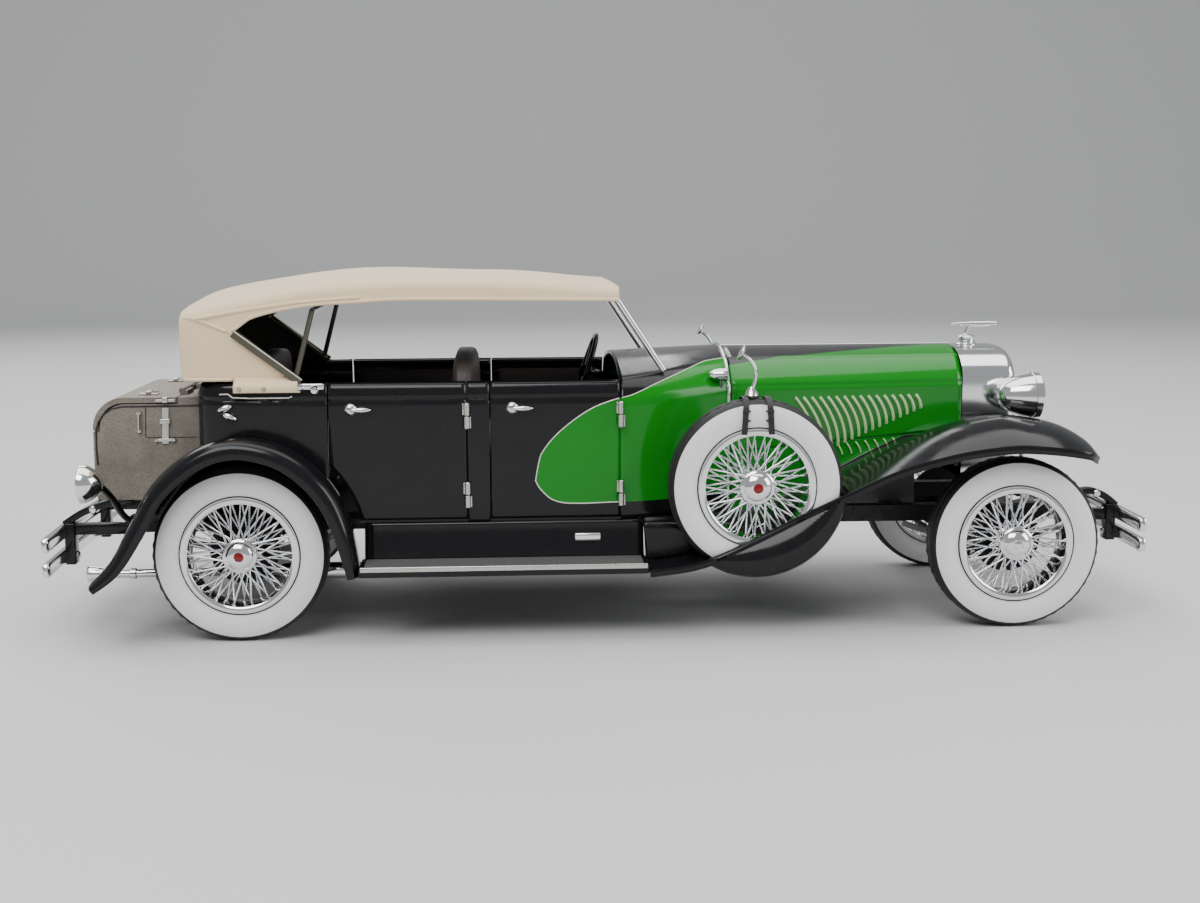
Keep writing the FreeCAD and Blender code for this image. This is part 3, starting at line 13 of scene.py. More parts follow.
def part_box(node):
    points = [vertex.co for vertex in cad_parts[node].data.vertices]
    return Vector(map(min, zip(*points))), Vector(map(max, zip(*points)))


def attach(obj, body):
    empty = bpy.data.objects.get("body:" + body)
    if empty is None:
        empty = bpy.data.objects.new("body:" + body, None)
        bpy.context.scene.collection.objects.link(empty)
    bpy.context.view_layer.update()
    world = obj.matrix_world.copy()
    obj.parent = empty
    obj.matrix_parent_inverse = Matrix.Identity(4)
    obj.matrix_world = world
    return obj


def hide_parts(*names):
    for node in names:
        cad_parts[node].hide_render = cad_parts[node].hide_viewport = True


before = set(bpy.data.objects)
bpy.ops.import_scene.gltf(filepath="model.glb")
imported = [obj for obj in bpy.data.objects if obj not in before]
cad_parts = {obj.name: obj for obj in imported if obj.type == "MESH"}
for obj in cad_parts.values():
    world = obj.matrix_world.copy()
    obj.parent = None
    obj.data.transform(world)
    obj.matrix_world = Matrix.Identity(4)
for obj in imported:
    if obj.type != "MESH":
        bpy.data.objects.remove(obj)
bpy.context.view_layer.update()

bl_info = {
    "name": "Touring car model",
    "version": (1, 0, 0),
    "blender": (4, 5, 0),
    "location": "View3D > Sidebar > Touring car",
    "description": "Builds a two-tone open touring car in 1:18 scale",
    "category": "Object",
}

MM = 0.001
SIDES = (("right", -1), ("left", 1))
ENDS = ("front", "rear")
WELD = 0.0005


# ---------------------------------------------------------------- places from the frame

def low(node):
    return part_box(node)[0] / MM


def high(node):
    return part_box(node)[1] / MM


def middle(node):
    return (low(node) + high(node)) / 2


FRONT_AXLE = middle("tyre_front_right")
REAR_AXLE = middle("tyre_rear_right")
SPARE = middle("spare_tyres")
TYRE_RADIUS = FRONT_AXLE.z
COWL_REAR = low("cowl").x
COWL_FRONT = high("cowl").x
BODY_REAR = low("body_shell").x
BODY_LOW = low("body_shell").z
BELT = high("body_shell").z
FENDER_OUT = high("front_fenders").y
HOOD_REAR = low("hood_right").x
HOOD_FRONT = high("hood_right").x
HOOD_TOP = high("hood_right").z
BOARD_TOP = high("running_boards").z
TOP_LOW = low("soft_top").z
TOP_REAR = low("soft_top").x
TOP_FRONT = high("soft_top").x
TOP_HALF = high("soft_top").y
RADIATOR_LOW = low("radiator_shell")
RADIATOR_HIGH = high("radiator_shell")


# ---------------------------------------------------------------- shaping helpers

def glide(rows, share):
    """Point at a share of the way along a smooth line through rows of numbers."""
    spot = min(max(share, 0.0), 1.0) * (len(rows) - 1)
    index = min(int(spot), len(rows) - 2)
    t = spot - index
    last = len(rows) - 1
    a, b, c, d = (Vector(rows[min(max(index + step, 0), last)]) for step in (-1, 0, 1, 2))
    return 0.5 * (2 * b + (c - a) * t + (2 * a - 5 * b + 4 * c - d) * t ** 2
                  + (3 * b - a - 3 * c + d) * t ** 3)


def ease(rows, x):
    """Height over x of a smooth line through rows of (x, height)."""
    if x <= rows[0][0]:
        return rows[0][1]
    if x >= rows[-1][0]:
        return rows[-1][1]
    index = max(i for i in range(len(rows) - 1) if rows[i][0] <= x)
    (x0, z0), (x1, z1) = rows[index], rows[index + 1]
    before = rows[max(index - 1, 0)]
    after = rows[min(index + 2, len(rows) - 1)]
    t = (x - x0) / (x1 - x0)
    lead = (z1 - before[1]) / (x1 - before[0]) * (x1 - x0)
    tail = (after[1] - z0) / (after[0] - x0) * (x1 - x0)
    return ((2 * t ** 3 - 3 * t ** 2 + 1) * z0 + (t ** 3 - 2 * t ** 2 + t) * lead
            + (3 * t ** 2 - 2 * t ** 3) * z1 + (t ** 3 - t ** 2) * tail)


def added(bm, before, index):
    """Faces made since before, given a material index."""
    faces = [face for face in bm.faces if face not in before]
    for face in faces:
        face.material_index = index
    return faces


def squared(amount, power):
    """Sine or cosine raised to a power with its sign kept, for rounded-square sections."""
    return math.copysign(abs(amount) ** power, amount)


def slice_at(bm, spot, normal, clear=False):
    """Cuts the mesh along a plane, and drops what lies past it where clear is set."""
    bmesh.ops.bisect_plane(bm, geom=bm.verts[:] + bm.edges[:] + bm.faces[:], dist=WELD,
                           plane_co=spot, plane_no=normal, clear_outer=clear)


def add_patch(bm, columns, rows, place, index=0):
    """Grid whose corners go where place(u, v) says, u and v from 0 to 1."""
    before = set(bm.faces)
    made = bmesh.ops.create_grid(bm, x_segments=columns, y_segments=rows, size=0.5)
    for vert in made["verts"]:
        vert.co = place(vert.co.x + 0.5, vert.co.y + 0.5)
    return added(bm, before, index)


def add_lathe(bm, profile, centre, axis=(0, 1, 0), steps=48, loop=False, index=0):
    """Profile of (radius, distance along the axis) turned about an axis through centre."""
    before = set(bm.faces)
    axis = Vector(axis).normalized()
    centre = Vector(centre)
    across = axis.orthogonal().normalized()
    verts = [bm.verts.new(centre + across * radius + axis * along) for radius, along in profile]
    edges = [bm.edges.new(pair) for pair in zip(verts, verts[1:])]
    if loop:
        edges.append(bm.edges.new((verts[-1], verts[0])))
    bmesh.ops.spin(bm, geom=verts + edges, cent=centre, axis=axis, angle=math.tau, steps=steps,
                   use_merge=True)
    bmesh.ops.remove_doubles(bm, verts=bm.verts[:], dist=WELD)
    return added(bm, before, index)


def add_block(bm, corner, far, soft=0.0, index=0):
    """Box between two corners, with rounded edges where soft is above 0."""
    before = set(bm.faces)
    corner, far = Vector(corner), Vector(far)
    size = far - corner
    made = bmesh.ops.create_cube(bm, size=1.0)
    verts = made["verts"]
    bmesh.ops.scale(bm, vec=[abs(length) for length in size], verts=verts)
    bmesh.ops.translate(bm, vec=(corner + far) / 2, verts=verts)
    if soft:
        edges = list({edge for vert in verts for edge in vert.link_edges})
        bmesh.ops.bevel(bm, geom=edges, offset=soft, offset_type="OFFSET", affect="EDGES",
                        segments=3, profile=0.5, material=-1)
    return added(bm, before, index)


def add_rod(bm, start, end, radius, far_radius=None, sides=12, index=0):
    """Round rod between two points."""
    before = set(bm.faces)
    start, end = Vector(start), Vector(end)
    run = end - start
    turn = run.to_track_quat("Z", "Y").to_matrix().to_4x4()
    bmesh.ops.create_cone(bm, cap_ends=True, segments=sides, radius1=radius,
                          radius2=radius if far_radius is None else far_radius, depth=run.length,
                          matrix=Matrix.Translation((start + end) / 2) @ turn)
    return added(bm, before, index)


def aim(bm, faces, away):
    """Turns a sheet's faces over where they point towards a place rather than away from it."""
    away = Vector(away)
    bmesh.ops.recalc_face_normals(bm, faces=faces)
    lean = sum(face.normal.dot(face.calc_center_median() - away) * face.calc_area() for face in faces)
    if lean < 0:
        bmesh.ops.reverse_faces(bm, faces=faces)


def dress(item, body, finishes, nodes):
    """Gives a new object its materials, body and the nodes it stands for."""
    for finish in finishes:
        item.data.materials.append(bpy.data.materials[finish])
    bpy.context.scene.collection.objects.link(item)
    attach(item, body)
    if nodes:
        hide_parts(*nodes)
    return item


def piece(name, bm, body, finishes, nodes=(), closed=True, crease=35.0, wall=0.0, subdivide=0,
          lining=0):
    """Mesh object from a bmesh in millimetres, riding on a body of the frame.

    closed merges doubled points and turns the faces outwards. wall gives a sheet its thickness,
    and lining is how many finishes further on the sheet's inner side is.
    """
    if closed:
        bmesh.ops.remove_doubles(bm, verts=bm.verts[:], dist=WELD)
        bmesh.ops.recalc_face_normals(bm, faces=bm.faces[:])
    bmesh.ops.scale(bm, vec=(MM, MM, MM), verts=bm.verts[:])
    mesh = bpy.data.meshes.new(name)
    bm.to_mesh(mesh)
    bm.free()
    mesh.shade_smooth()
    mesh.set_sharp_from_angle(angle=math.radians(crease))
    item = bpy.data.objects.new(name, mesh)
    if wall:
        skin = item.modifiers.new("wall", "SOLIDIFY")
        skin.thickness = wall * MM
        skin.offset = -1.0
        skin.material_offset = lining
    if subdivide:
        smooth = item.modifiers.new("smooth", "SUBSURF")
        smooth.levels = smooth.render_levels = subdivide
    return dress(item, body, finishes, nodes)


def tube(name, paths, radius, body, finish, nodes=(), closed=False, straight=True, sides=3):
    """Round wires along paths of points in millimetres, as one curve object."""
    curve = bpy.data.curves.new(name, "CURVE")
    curve.dimensions = "3D"
    curve.bevel_depth = radius * MM
    curve.bevel_resolution = sides
    curve.use_fill_caps = True
    for path in paths:
        spline = curve.splines.new("POLY" if straight else "NURBS")
        spline.points.add(len(path) - 1)
        for point, spot in zip(spline.points, path):
            point.co = (*(Vector(spot) * MM), 1.0)
        spline.use_cyclic_u = closed
        spline.use_smooth = True
        if not straight:
            spline.order_u = 3
            spline.use_endpoint_u = not closed
    return dress(bpy.data.objects.new(name, curve), body, [finish], nodes)


def repaint(nodes, finish):
    """New material on CAD nodes that keep their shape."""
    for node in nodes:
        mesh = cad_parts[node].data
        mesh.materials.clear()
        mesh.materials.append(bpy.data.materials[finish])


# ---------------------------------------------------------------- materials

class Finish:
    """Node material under construction, on a Principled shader."""

    def __init__(self, name, colour, roughness, **sockets):
        self.material = bpy.data.materials.new(name)
        self.material.use_nodes = True
        self.nodes = self.material.node_tree.nodes
        self.links = self.material.node_tree.links
        self.shader = self.nodes["Principled BSDF"]
        self.shader.inputs["Base Color"].default_value = (*colour, 1.0)
        self.shader.inputs["Roughness"].default_value = roughness
        for socket, amount in sockets.items():
            self.shader.inputs[socket.replace("_", " ")].default_value = amount
        self.material.diffuse_color = (*colour, 1.0)
        self.place = self.nodes.new("ShaderNodeTexCoord").outputs["Object"]

    def add(self, kind, inputs=(), **settings):
        node = self.nodes.new("ShaderNode" + kind)
        for key, setting in settings.items():
            setattr(node, key, setting)
        for socket, amount in dict(inputs).items():
            if isinstance(amount, bpy.types.NodeSocket):
                self.links.new(amount, node.inputs[socket])
            else:
                node.inputs[socket].default_value = amount
        return node

    def math(self, operation, first, second=0.0):
        return self.add("Math", {0: first, 1: second}, operation=operation).outputs[0]

    def spread(self, fac, low_out, high_out, low_in=0.3, high_in=0.7):
        return self.add("MapRange", {"Value": fac, "From Min": low_in, "From Max": high_in,
                                     "To Min": low_out, "To Max": high_out}).outputs["Result"]

    def noise(self, size, detail=3.0, stretch=(1.0, 1.0, 1.0)):
        """Noise with features about size millimetres across."""
        place = self.place
        if stretch != (1.0, 1.0, 1.0):
            place = self.add("Mapping", {"Vector": place, "Scale": stretch}).outputs["Vector"]
        return self.add("TexNoise", {"Vector": place, "Scale": 1.0 / (size * MM), "Detail": detail}
                        ).outputs["Fac"]

    def axes(self):
        return self.add("SeparateXYZ", {"Vector": self.place}).outputs

    def mix(self, fac, first, second):
        node = self.add("Mix", {"Factor": fac}, data_type="RGBA")
        for socket, colour in (("A_Color", first), ("B_Color", second)):
            target = [item for item in node.inputs if item.identifier == socket][0]
            if isinstance(colour, bpy.types.NodeSocket):
                self.links.new(colour, target)
            else:
                target.default_value = (*colour, 1.0)
        return [item for item in node.outputs if item.identifier == "Result_Color"][0]

    def colour(self, socket):
        self.links.new(socket, self.shader.inputs["Base Color"])

    def rough(self, fac, least, most):
        self.links.new(self.spread(fac, least, most), self.shader.inputs["Roughness"])

    def bump(self, height, depth, strength=1.0):
        """Bump of depth millimetres."""
        node = self.add("Bump", {"Height": height, "Strength": strength, "Distance": depth * MM})
        self.links.new(node.outputs["Normal"], self.shader.inputs["Normal"])


BLACK_GLOSS = (0.0, 0.3)
GREEN_GLOSS = (0.2, 0.35)


def shade(colour, factor):
    return tuple(min(channel * factor, 1.0) for channel in colour)


def gloss(name, colour, coat=0.6, level=0.5):
    """Lacquer with a clear coat, a faint ripple and a little settled dust."""
    finish = Finish(name, colour, 0.16, Coat_Weight=coat, Coat_Roughness=0.03, Specular_IOR_Level=level)
    dust = finish.noise(0.7, 5.0)
    finish.colour(finish.mix(finish.spread(dust, 0.0, 0.35, 0.55, 0.85), colour,
                             tuple(channel * 0.8 + 0.02 for channel in colour)))
    finish.rough(finish.noise(6.0), 0.10, 0.2)
    finish.bump(finish.noise(2.4, 1.0), 0.012)
    return finish


def metal(name, colour, roughness, grain, depth, stretch=(1.0, 1.0, 1.0)):
    """Plated or cast metal whose polish varies."""
    finish = Finish(name, colour, roughness, Metallic=1.0)
    finish.colour(finish.mix(finish.noise(grain * 3), shade(colour, 0.86), colour))
    finish.rough(finish.noise(grain, 4.0, stretch), roughness * 0.7, roughness * 1.5)
    finish.bump(finish.noise(grain, 4.0, stretch), depth)
    return finish


def grained(name, colour, roughness, cell, depth, worn=1.35):
    """Leather or cloth-covered board: pebbled cells, darker between them."""
    finish = Finish(name, colour, roughness)
    cells = finish.add("TexVoronoi", {"Vector": finish.place, "Scale": 1.0 / (cell * MM)}
                       ).outputs["Distance"]
    patches = finish.noise(8.0, 4.0)
    toned = finish.mix(finish.spread(patches, 0.0, 1.0), shade(colour, 0.82), shade(colour, worn))
    finish.colour(finish.mix(finish.spread(cells, 0.0, 0.5, 0.3, 0.8), toned, shade(colour, 0.6)))
    finish.rough(patches, roughness * 0.85, min(roughness * 1.15, 1.0))
    finish.bump(finish.spread(cells, 1.0, 0.0, 0.2, 0.9), depth)
    return finish


def woven(name, colour, pitch):
    """Close canvas weave: threads along and across the car, with a soft sheen."""
    finish = Finish(name, colour, 0.72, Sheen_Weight=0.25, Sheen_Roughness=0.5)
    axes = finish.axes()
    waves = []
    for axis in ("X", "Y", "Z"):
        across = finish.math("MULTIPLY", axes[axis], math.tau / (pitch * MM))
        waves.append(finish.math("SINE", across))
    weave = finish.math("MULTIPLY", waves[0], finish.math("ADD", waves[1], waves[2]))
    fac = finish.spread(weave, 0.0, 1.0, -1.2, 1.2)
    stain = finish.noise(14.0, 4.0)
    toned = finish.mix(finish.spread(stain, 0.0, 1.0), shade(colour, 0.93), shade(colour, 1.05))
    finish.colour(finish.mix(fac, shade(colour, 0.9), toned))
    finish.rough(stain, 0.66, 0.8)
    finish.bump(fac, 0.03)
    return finish


def strip_paint(name, black, colour):
    """Hood lacquer: black along the top, narrowing to the nose, the second colour below."""
    finish = gloss(name, colour, *GREEN_GLOSS)
    axes = finish.axes()
    half = finish.add("MapRange", {"Value": axes["X"], "From Min": HOOD_REAR * MM,
                                   "From Max": HOOD_FRONT * MM, "To Min": 20.0 * MM, "To Max": 1.6 * MM})
    inside = finish.math("LESS_THAN", finish.math("ABSOLUTE", axes["Y"]), half.outputs["Result"])
    finish.colour(finish.mix(inside, colour, black))
    return finish


SWEEP_TOP = ((-17.4, 40.0), (-16.9, 43.0), (-15.9, 46.9), (-11.0, 52.8), (-3.2, 58.4), (3.2, 60.9),
             (7.1, 61.7), (14.8, 64.7), (25.2, 68.2), (28.3, 69.1), (35.0, 69.7))
SWEEP_LOW = ((-17.4, 40.0), (-16.3, 38.0), (-13.2, 35.1), (-8.6, 34.0), (3.1, 34.1), (35.0, 34.3))


def sweep_paint(name, black, colour):
    """Body lacquer: a pointed sweep of the second colour that runs back from the hood."""
    finish = gloss(name, black, *BLACK_GLOSS)
    axes = finish.axes()
    start, end = SWEEP_TOP[0][0], COWL_FRONT + 1.0
    floor, roof = 30.0, 75.0
    along = finish.add("MapRange", {"Value": axes["X"], "From Min": start * MM, "From Max": end * MM})
    inside = finish.math("GREATER_THAN", axes["X"], start * MM)
    for rows, test in ((SWEEP_TOP, "LESS_THAN"), (SWEEP_LOW, "GREATER_THAN")):
        curve = finish.add("FloatCurve", {"Value": along.outputs["Result"]})
        line = curve.mapping.curves[0]
        spots = [((x - start) / (end - start), (z - floor) / (roof - floor)) for x, z in rows]
        line.points[0].location = spots[0]
        line.points[1].location = (1.0, spots[-1][1])
        for spot in spots[1:-1]:
            line.points.new(*spot)
        curve.mapping.update()
        height = finish.add("MapRange", {"Value": curve.outputs["Value"], "To Min": floor * MM,
                                         "To Max": roof * MM})
        inside = finish.math("MULTIPLY", inside,
                             finish.math(test, axes["Z"], height.outputs["Result"]))
    finish.colour(finish.mix(inside, black, colour))
    return finish


# ---------------------------------------------------------------- settings

def length(name, text, default):
    return bpy.props.FloatProperty(name=name, description=text, default=default, unit="LENGTH")


def tint(name, text, default):
    return bpy.props.FloatVectorProperty(name=name, description=text, default=default, size=3,
                                         subtype="COLOR", min=0.0, max=1.0)


class TOURER_PG_colours(bpy.types.PropertyGroup):
    body: tint("Body", "Lacquer of the body and fenders", (0.006, 0.006, 0.007))
    sweep: tint("Sweep", "Lacquer of the hood and the sweep", (0.0, 0.19, 0.006))
    top: tint("Top", "Canvas of the folding top", (0.86, 0.66, 0.43))
    trunk: tint("Trunk", "Covering of the trunk", (0.19, 0.165, 0.135))
    irons: tint("Irons", "Paint of the top's irons", (0.07, 0.065, 0.045))
    seats: tint("Seats", "Leather of the seats", (0.022, 0.018, 0.016))
    plating: tint("Plating", "Colour of the plated pieces", (0.86, 0.87, 0.89))


class TOURER_PG_sizes(bpy.types.PropertyGroup):
    spoke_radius: length("Spoke radius", "Radius of one wheel spoke", 0.00027)
    bead_radius: length("Bead radius", "Radius of the bead along a fender's edge", 0.0004)
    piping_radius: length("Piping radius", "Radius of the piping on the top and the trunk", 0.0004)
    louvre_radius: length("Louvre radius", "Half the width of a hood louvre", 0.00042)
    spoke_pairs: bpy.props.IntProperty(
        name="Spoke pairs", description="Crossed pairs of spokes in each of a wheel's two rows",
        default=18, min=6, max=30)
    louvres: bpy.props.IntProperty(
        name="Louvres", description="Louvres on each side of the hood", default=16, min=4, max=24)


def sizes():
    return bpy.context.scene.tourer_sizes


class TOURER_OT_finishes(bpy.types.Operator):
    """Materials of the whole car"""

    bl_idname = "tourer.finishes"
    bl_label = "Finishes"

    def execute(self, context):
        colours = context.scene.tourer_colours
        black, green = tuple(colours.body), tuple(colours.sweep)
        gloss("black_lacquer", black, *BLACK_GLOSS)
        gloss("green_lacquer", green, *GREEN_GLOSS)
        # Louvres are painted a pale green, much lighter than the hood's green: painted highlight along their
        # ridges.
        gloss("louvre_painted_highlight", (0.42, 0.6, 0.3))
        # Pale lacquer for the sweep's pinstripes, also used as painted highlight along the quarter irons'
        # upper edges.
        gloss("pinstripe_and_highlight", (0.7, 0.68, 0.6))
        gloss("red_enamel", (0.2, 0.004, 0.004), *GREEN_GLOSS)
        gloss("iron_paint", tuple(colours.irons), *GREEN_GLOSS)
        sweep_paint("two_tone_lacquer", black, green)
        strip_paint("hood_lacquer", black, green)
        metal("chrome", tuple(colours.plating), 0.07, 3.0, 0.004)
        metal("spoke_chrome", tuple(colours.plating), 0.16, 1.0, 0.004)
        metal("nickel", (0.62, 0.6, 0.56), 0.3, 0.8, 0.02)
        metal("cast_iron", (0.16, 0.17, 0.16), 0.5, 0.5, 0.06)
        metal("spring_steel", (0.05, 0.05, 0.055), 0.42, 0.9, 0.03, (0.2, 1.0, 1.0))
        metal("frame_steel", (0.03, 0.03, 0.032), 0.4, 0.8, 0.03)
        metal("turned_metal", (0.45, 0.45, 0.46), 0.32, 0.5, 0.02, (1.0, 0.3, 1.0))
        grained("trunk_leather", tuple(colours.trunk), 0.55, 0.5, 0.05)
        grained("seat_leather", tuple(colours.seats), 0.42, 0.45, 0.05, 1.8)
        grained("strap_leather", (0.012, 0.011, 0.01), 0.5, 0.35, 0.04)
        woven("top_canvas", tuple(colours.top), 0.36)
        woven("top_lining", shade(tuple(colours.irons), 0.45), 0.5)
        self.make_rubber()
        self.make_glass()
        self.make_core()
        return {"FINISHED"}

    def make_rubber(self):
        for name, colour, roughness, scuffed, grit in (("tyre_rubber", (0.012, 0.012, 0.013), 0.6, 0.86,
                                                        0.02),
                                                       ("whitewall", (0.8, 0.79, 0.8), 0.42, 0.97, 0.004),
                                                       ("board_rubber", (0.045, 0.043, 0.04), 0.6, 0.8, 0.02),
                                                       ("carpet", (0.02, 0.015, 0.012), 0.95, 0.7, 0.06)):
            finish = Finish(name, colour, roughness)
            scuff = finish.noise(1.6, 5.0)
            finish.colour(finish.mix(finish.spread(scuff, 0.0, 1.0), shade(colour, scuffed), colour))
            finish.rough(scuff, roughness * 0.85, min(roughness * 1.15, 1.0))
            finish.bump(finish.noise(0.5, 3.0), grit)

    def make_glass(self):
        glass = Finish("clear_glass", (0.96, 0.98, 0.98), 0.02, Transmission_Weight=1.0, IOR=1.15,
                       Alpha=0.35)
        glass.rough(glass.noise(20.0), 0.01, 0.05)
        lens = Finish("lamp_glass", (0.9, 0.92, 0.93), 0.08, Metallic=0.6)
        flutes = lens.math("SINE", lens.math("MULTIPLY", lens.axes()["Y"], math.tau / (0.9 * MM)))
        lens.bump(flutes, 0.05)
        lens.rough(lens.noise(2.0), 0.05, 0.15)
        film = Finish("window_film", (0.05, 0.055, 0.06), 0.12)
        film.rough(film.noise(9.0), 0.08, 0.22)
        film.bump(film.noise(5.0), 0.05)
        red = Finish("red_glass", (0.45, 0.01, 0.01), 0.1, Coat_Weight=1.0)
        cells = red.add("TexVoronoi", {"Vector": red.place, "Scale": 1.0 / (0.6 * MM)}).outputs["Distance"]
        red.bump(cells, 0.05)

    def make_core(self):
        """Honeycomb of the radiator's core: grey cell walls, with the cells painted near black as painted
        shade of their hollows.
        """
        core = Finish("honeycomb", (0.3, 0.3, 0.31), 0.35, Metallic=1.0)
        flat = core.add("Mapping", {"Vector": core.place, "Scale": (0.0, 1.0, 1.0)}).outputs["Vector"]
        cells = core.add("TexVoronoi", {"Vector": flat, "Scale": 1.0 / (1.1 * MM), "Randomness": 0.0},
                         feature="DISTANCE_TO_EDGE").outputs["Distance"]
        # Cell middles are painted near black: painted shade standing in for the depth of the open cells.
        core.colour(core.mix(core.spread(cells, 0.0, 1.0, 0.05, 0.2), (0.5, 0.5, 0.51), (0.01, 0.01, 0.01)))
        core.bump(core.spread(cells, 1.0, 0.0, 0.05, 0.2), 0.3)


class TOURER_OT_stage(bpy.types.Operator):
    """Pale floor and backdrop, soft lights and the camera"""

    bl_idname = "tourer.stage"
    bl_label = "Stage"

    def execute(self, context):
        scene = context.scene
        bm = bmesh.new()
        add_patch(bm, 8, 60, self.sweep)
        aim(bm, bm.faces[:], (0, 0, 5000))
        bmesh.ops.reverse_faces(bm, faces=bm.faces[:])
        bmesh.ops.scale(bm, vec=(MM, MM, MM), verts=bm.verts[:])
        mesh = bpy.data.meshes.new("backdrop")
        bm.to_mesh(mesh)
        bm.free()
        mesh.shade_smooth()
        floor = bpy.data.objects.new("backdrop", mesh)
        paper = Finish("backdrop_paper", (0.6, 0.6, 0.6), 0.75)
        paper.rough(paper.noise(60.0), 0.7, 0.8)
        mesh.materials.append(paper.material)
        scene.collection.objects.link(floor)
        for name, place, aim_at, energy, width, depth in (
                ("key", (-0.35, -0.75, 0.95), (0, 0, 0.04), 11.0, 0.9, 0.6),
                ("top", (0.0, 0.1, 1.1), (0, 0, 0.0), 12.0, 1.4, 1.0),
                ("side", (0.95, -0.35, 0.45), (0.05, 0, 0.04), 5.0, 0.5, 0.6),
                ("back", (-0.3, 0.95, 0.7), (0, 0, 0.05), 5.0, 1.0, 0.5)):
            light = bpy.data.lights.new(name, "AREA")
            light.shape = "RECTANGLE"
            light.size, light.size_y = width, depth
            light.energy = energy
            lamp = bpy.data.objects.new(name, light)
            lamp.location = place
            lamp.rotation_euler = (Vector(aim_at) - Vector(place)).to_track_quat("-Z", "Y").to_euler()
            scene.collection.objects.link(lamp)
        world = bpy.data.worlds.new("studio")
        world.use_nodes = True
        world.node_tree.nodes["Background"].inputs["Color"].default_value = (0.72, 0.74, 0.76, 1.0)
        world.node_tree.nodes["Background"].inputs["Strength"].default_value = 0.55
        scene.world = world
        self.make_camera(scene)
        return {"FINISHED"}

    @staticmethod
    def sweep(u, v):
        """Floor that rises behind the car in one smooth curve."""
        run = 4200.0 * v - 1600.0
        bend, wall = 1400.0, 500.0
        over = run - bend
        if over <= 0:
            return Vector(((u - 0.5) * 8000.0, run, 0.0))
        turn = min(over / wall, math.pi / 2)
        rise = wall * (1 - math.cos(turn)) + max(over - wall * math.pi / 2, 0.0)
        return Vector(((u - 0.5) * 8000.0, bend + wall * math.sin(turn), rise))

    @staticmethod
    def make_camera(scene):
        yaw, pitch, roll = (math.radians(angle) for angle in (3.293, 7.714, -0.287))
        view = Vector((math.sin(yaw) * math.cos(pitch), math.cos(yaw) * math.cos(pitch), -math.sin(pitch)))
        right = Vector((math.cos(yaw), -math.sin(yaw), 0.0))
        up = right.cross(view)
        across = right * math.cos(roll) + up * math.sin(roll)
        up = up * math.cos(roll) - right * math.sin(roll)
        camera = bpy.data.objects.new("camera", bpy.data.cameras.new("camera"))
        camera.data.lens = 50.6
        camera.data.sensor_width = 36.0
        camera.data.clip_start = 0.01
        turn = Matrix((across, up, -view)).transposed().to_4x4()
        camera.matrix_world = Matrix.Translation((-0.0255, -0.4706, 0.106)) @ turn
        scene.collection.objects.link(camera)
        scene.camera = camera


# ---------------------------------------------------------------- wheels

TYRE_PROFILE = ((14.5, 3.4), (14.9, 4.0), (15.3, 4.25), (15.45, 4.15), (16.8, 4.65), (18.6, 4.75),
                (20.2, 4.55),
                (21.2, 4.1), (21.35, 4.15), (21.9, 3.5), (22.3, 2.9), (22.4, 2.5), (22.4, 1.75),
                (22.05, 1.65),
                (22.05, 1.35), (22.4, 1.25), (22.4, 0.2), (22.05, 0.12))
WHITE_BAND = (15.4, 21.25)
RIM_PROFILE = ((15.0, 4.1), (15.1, 4.4), (14.9, 4.72), (14.5, 4.85), (13.7, 4.75), (13.3, 4.4), (13.15, 3.7),
               (12.9, 2.0), (12.7, 0.0), (12.9, -2.0), (13.15, -3.7), (13.3, -4.4), (13.7, -4.75),
               (14.5, -4.85), (15.1, -4.4), (14.9, -3.9), (14.2, -3.2), (13.9, 0.0), (14.2, 3.2))
HUB_PROFILE = ((1.05, -4.2), (2.9, -4.2), (3.1, -3.9), (3.1, -3.1), (2.3, -2.7), (2.1, 1.0), (2.5, 2.4),
               (3.3, 2.7), (3.5, 3.1), (4.35, 3.7), (4.5, 4.2), (4.35, 4.8), (3.9, 5.15), (3.6, 5.2),
               (3.3, 5.55),
               (2.5, 6.1), (1.9, 6.3), (1.3, 6.35), (1.15, 6.2))
HUB_DISC = ((1.15, 6.2), (1.05, 6.35), (0.5, 6.5), (0.0, 6.55))


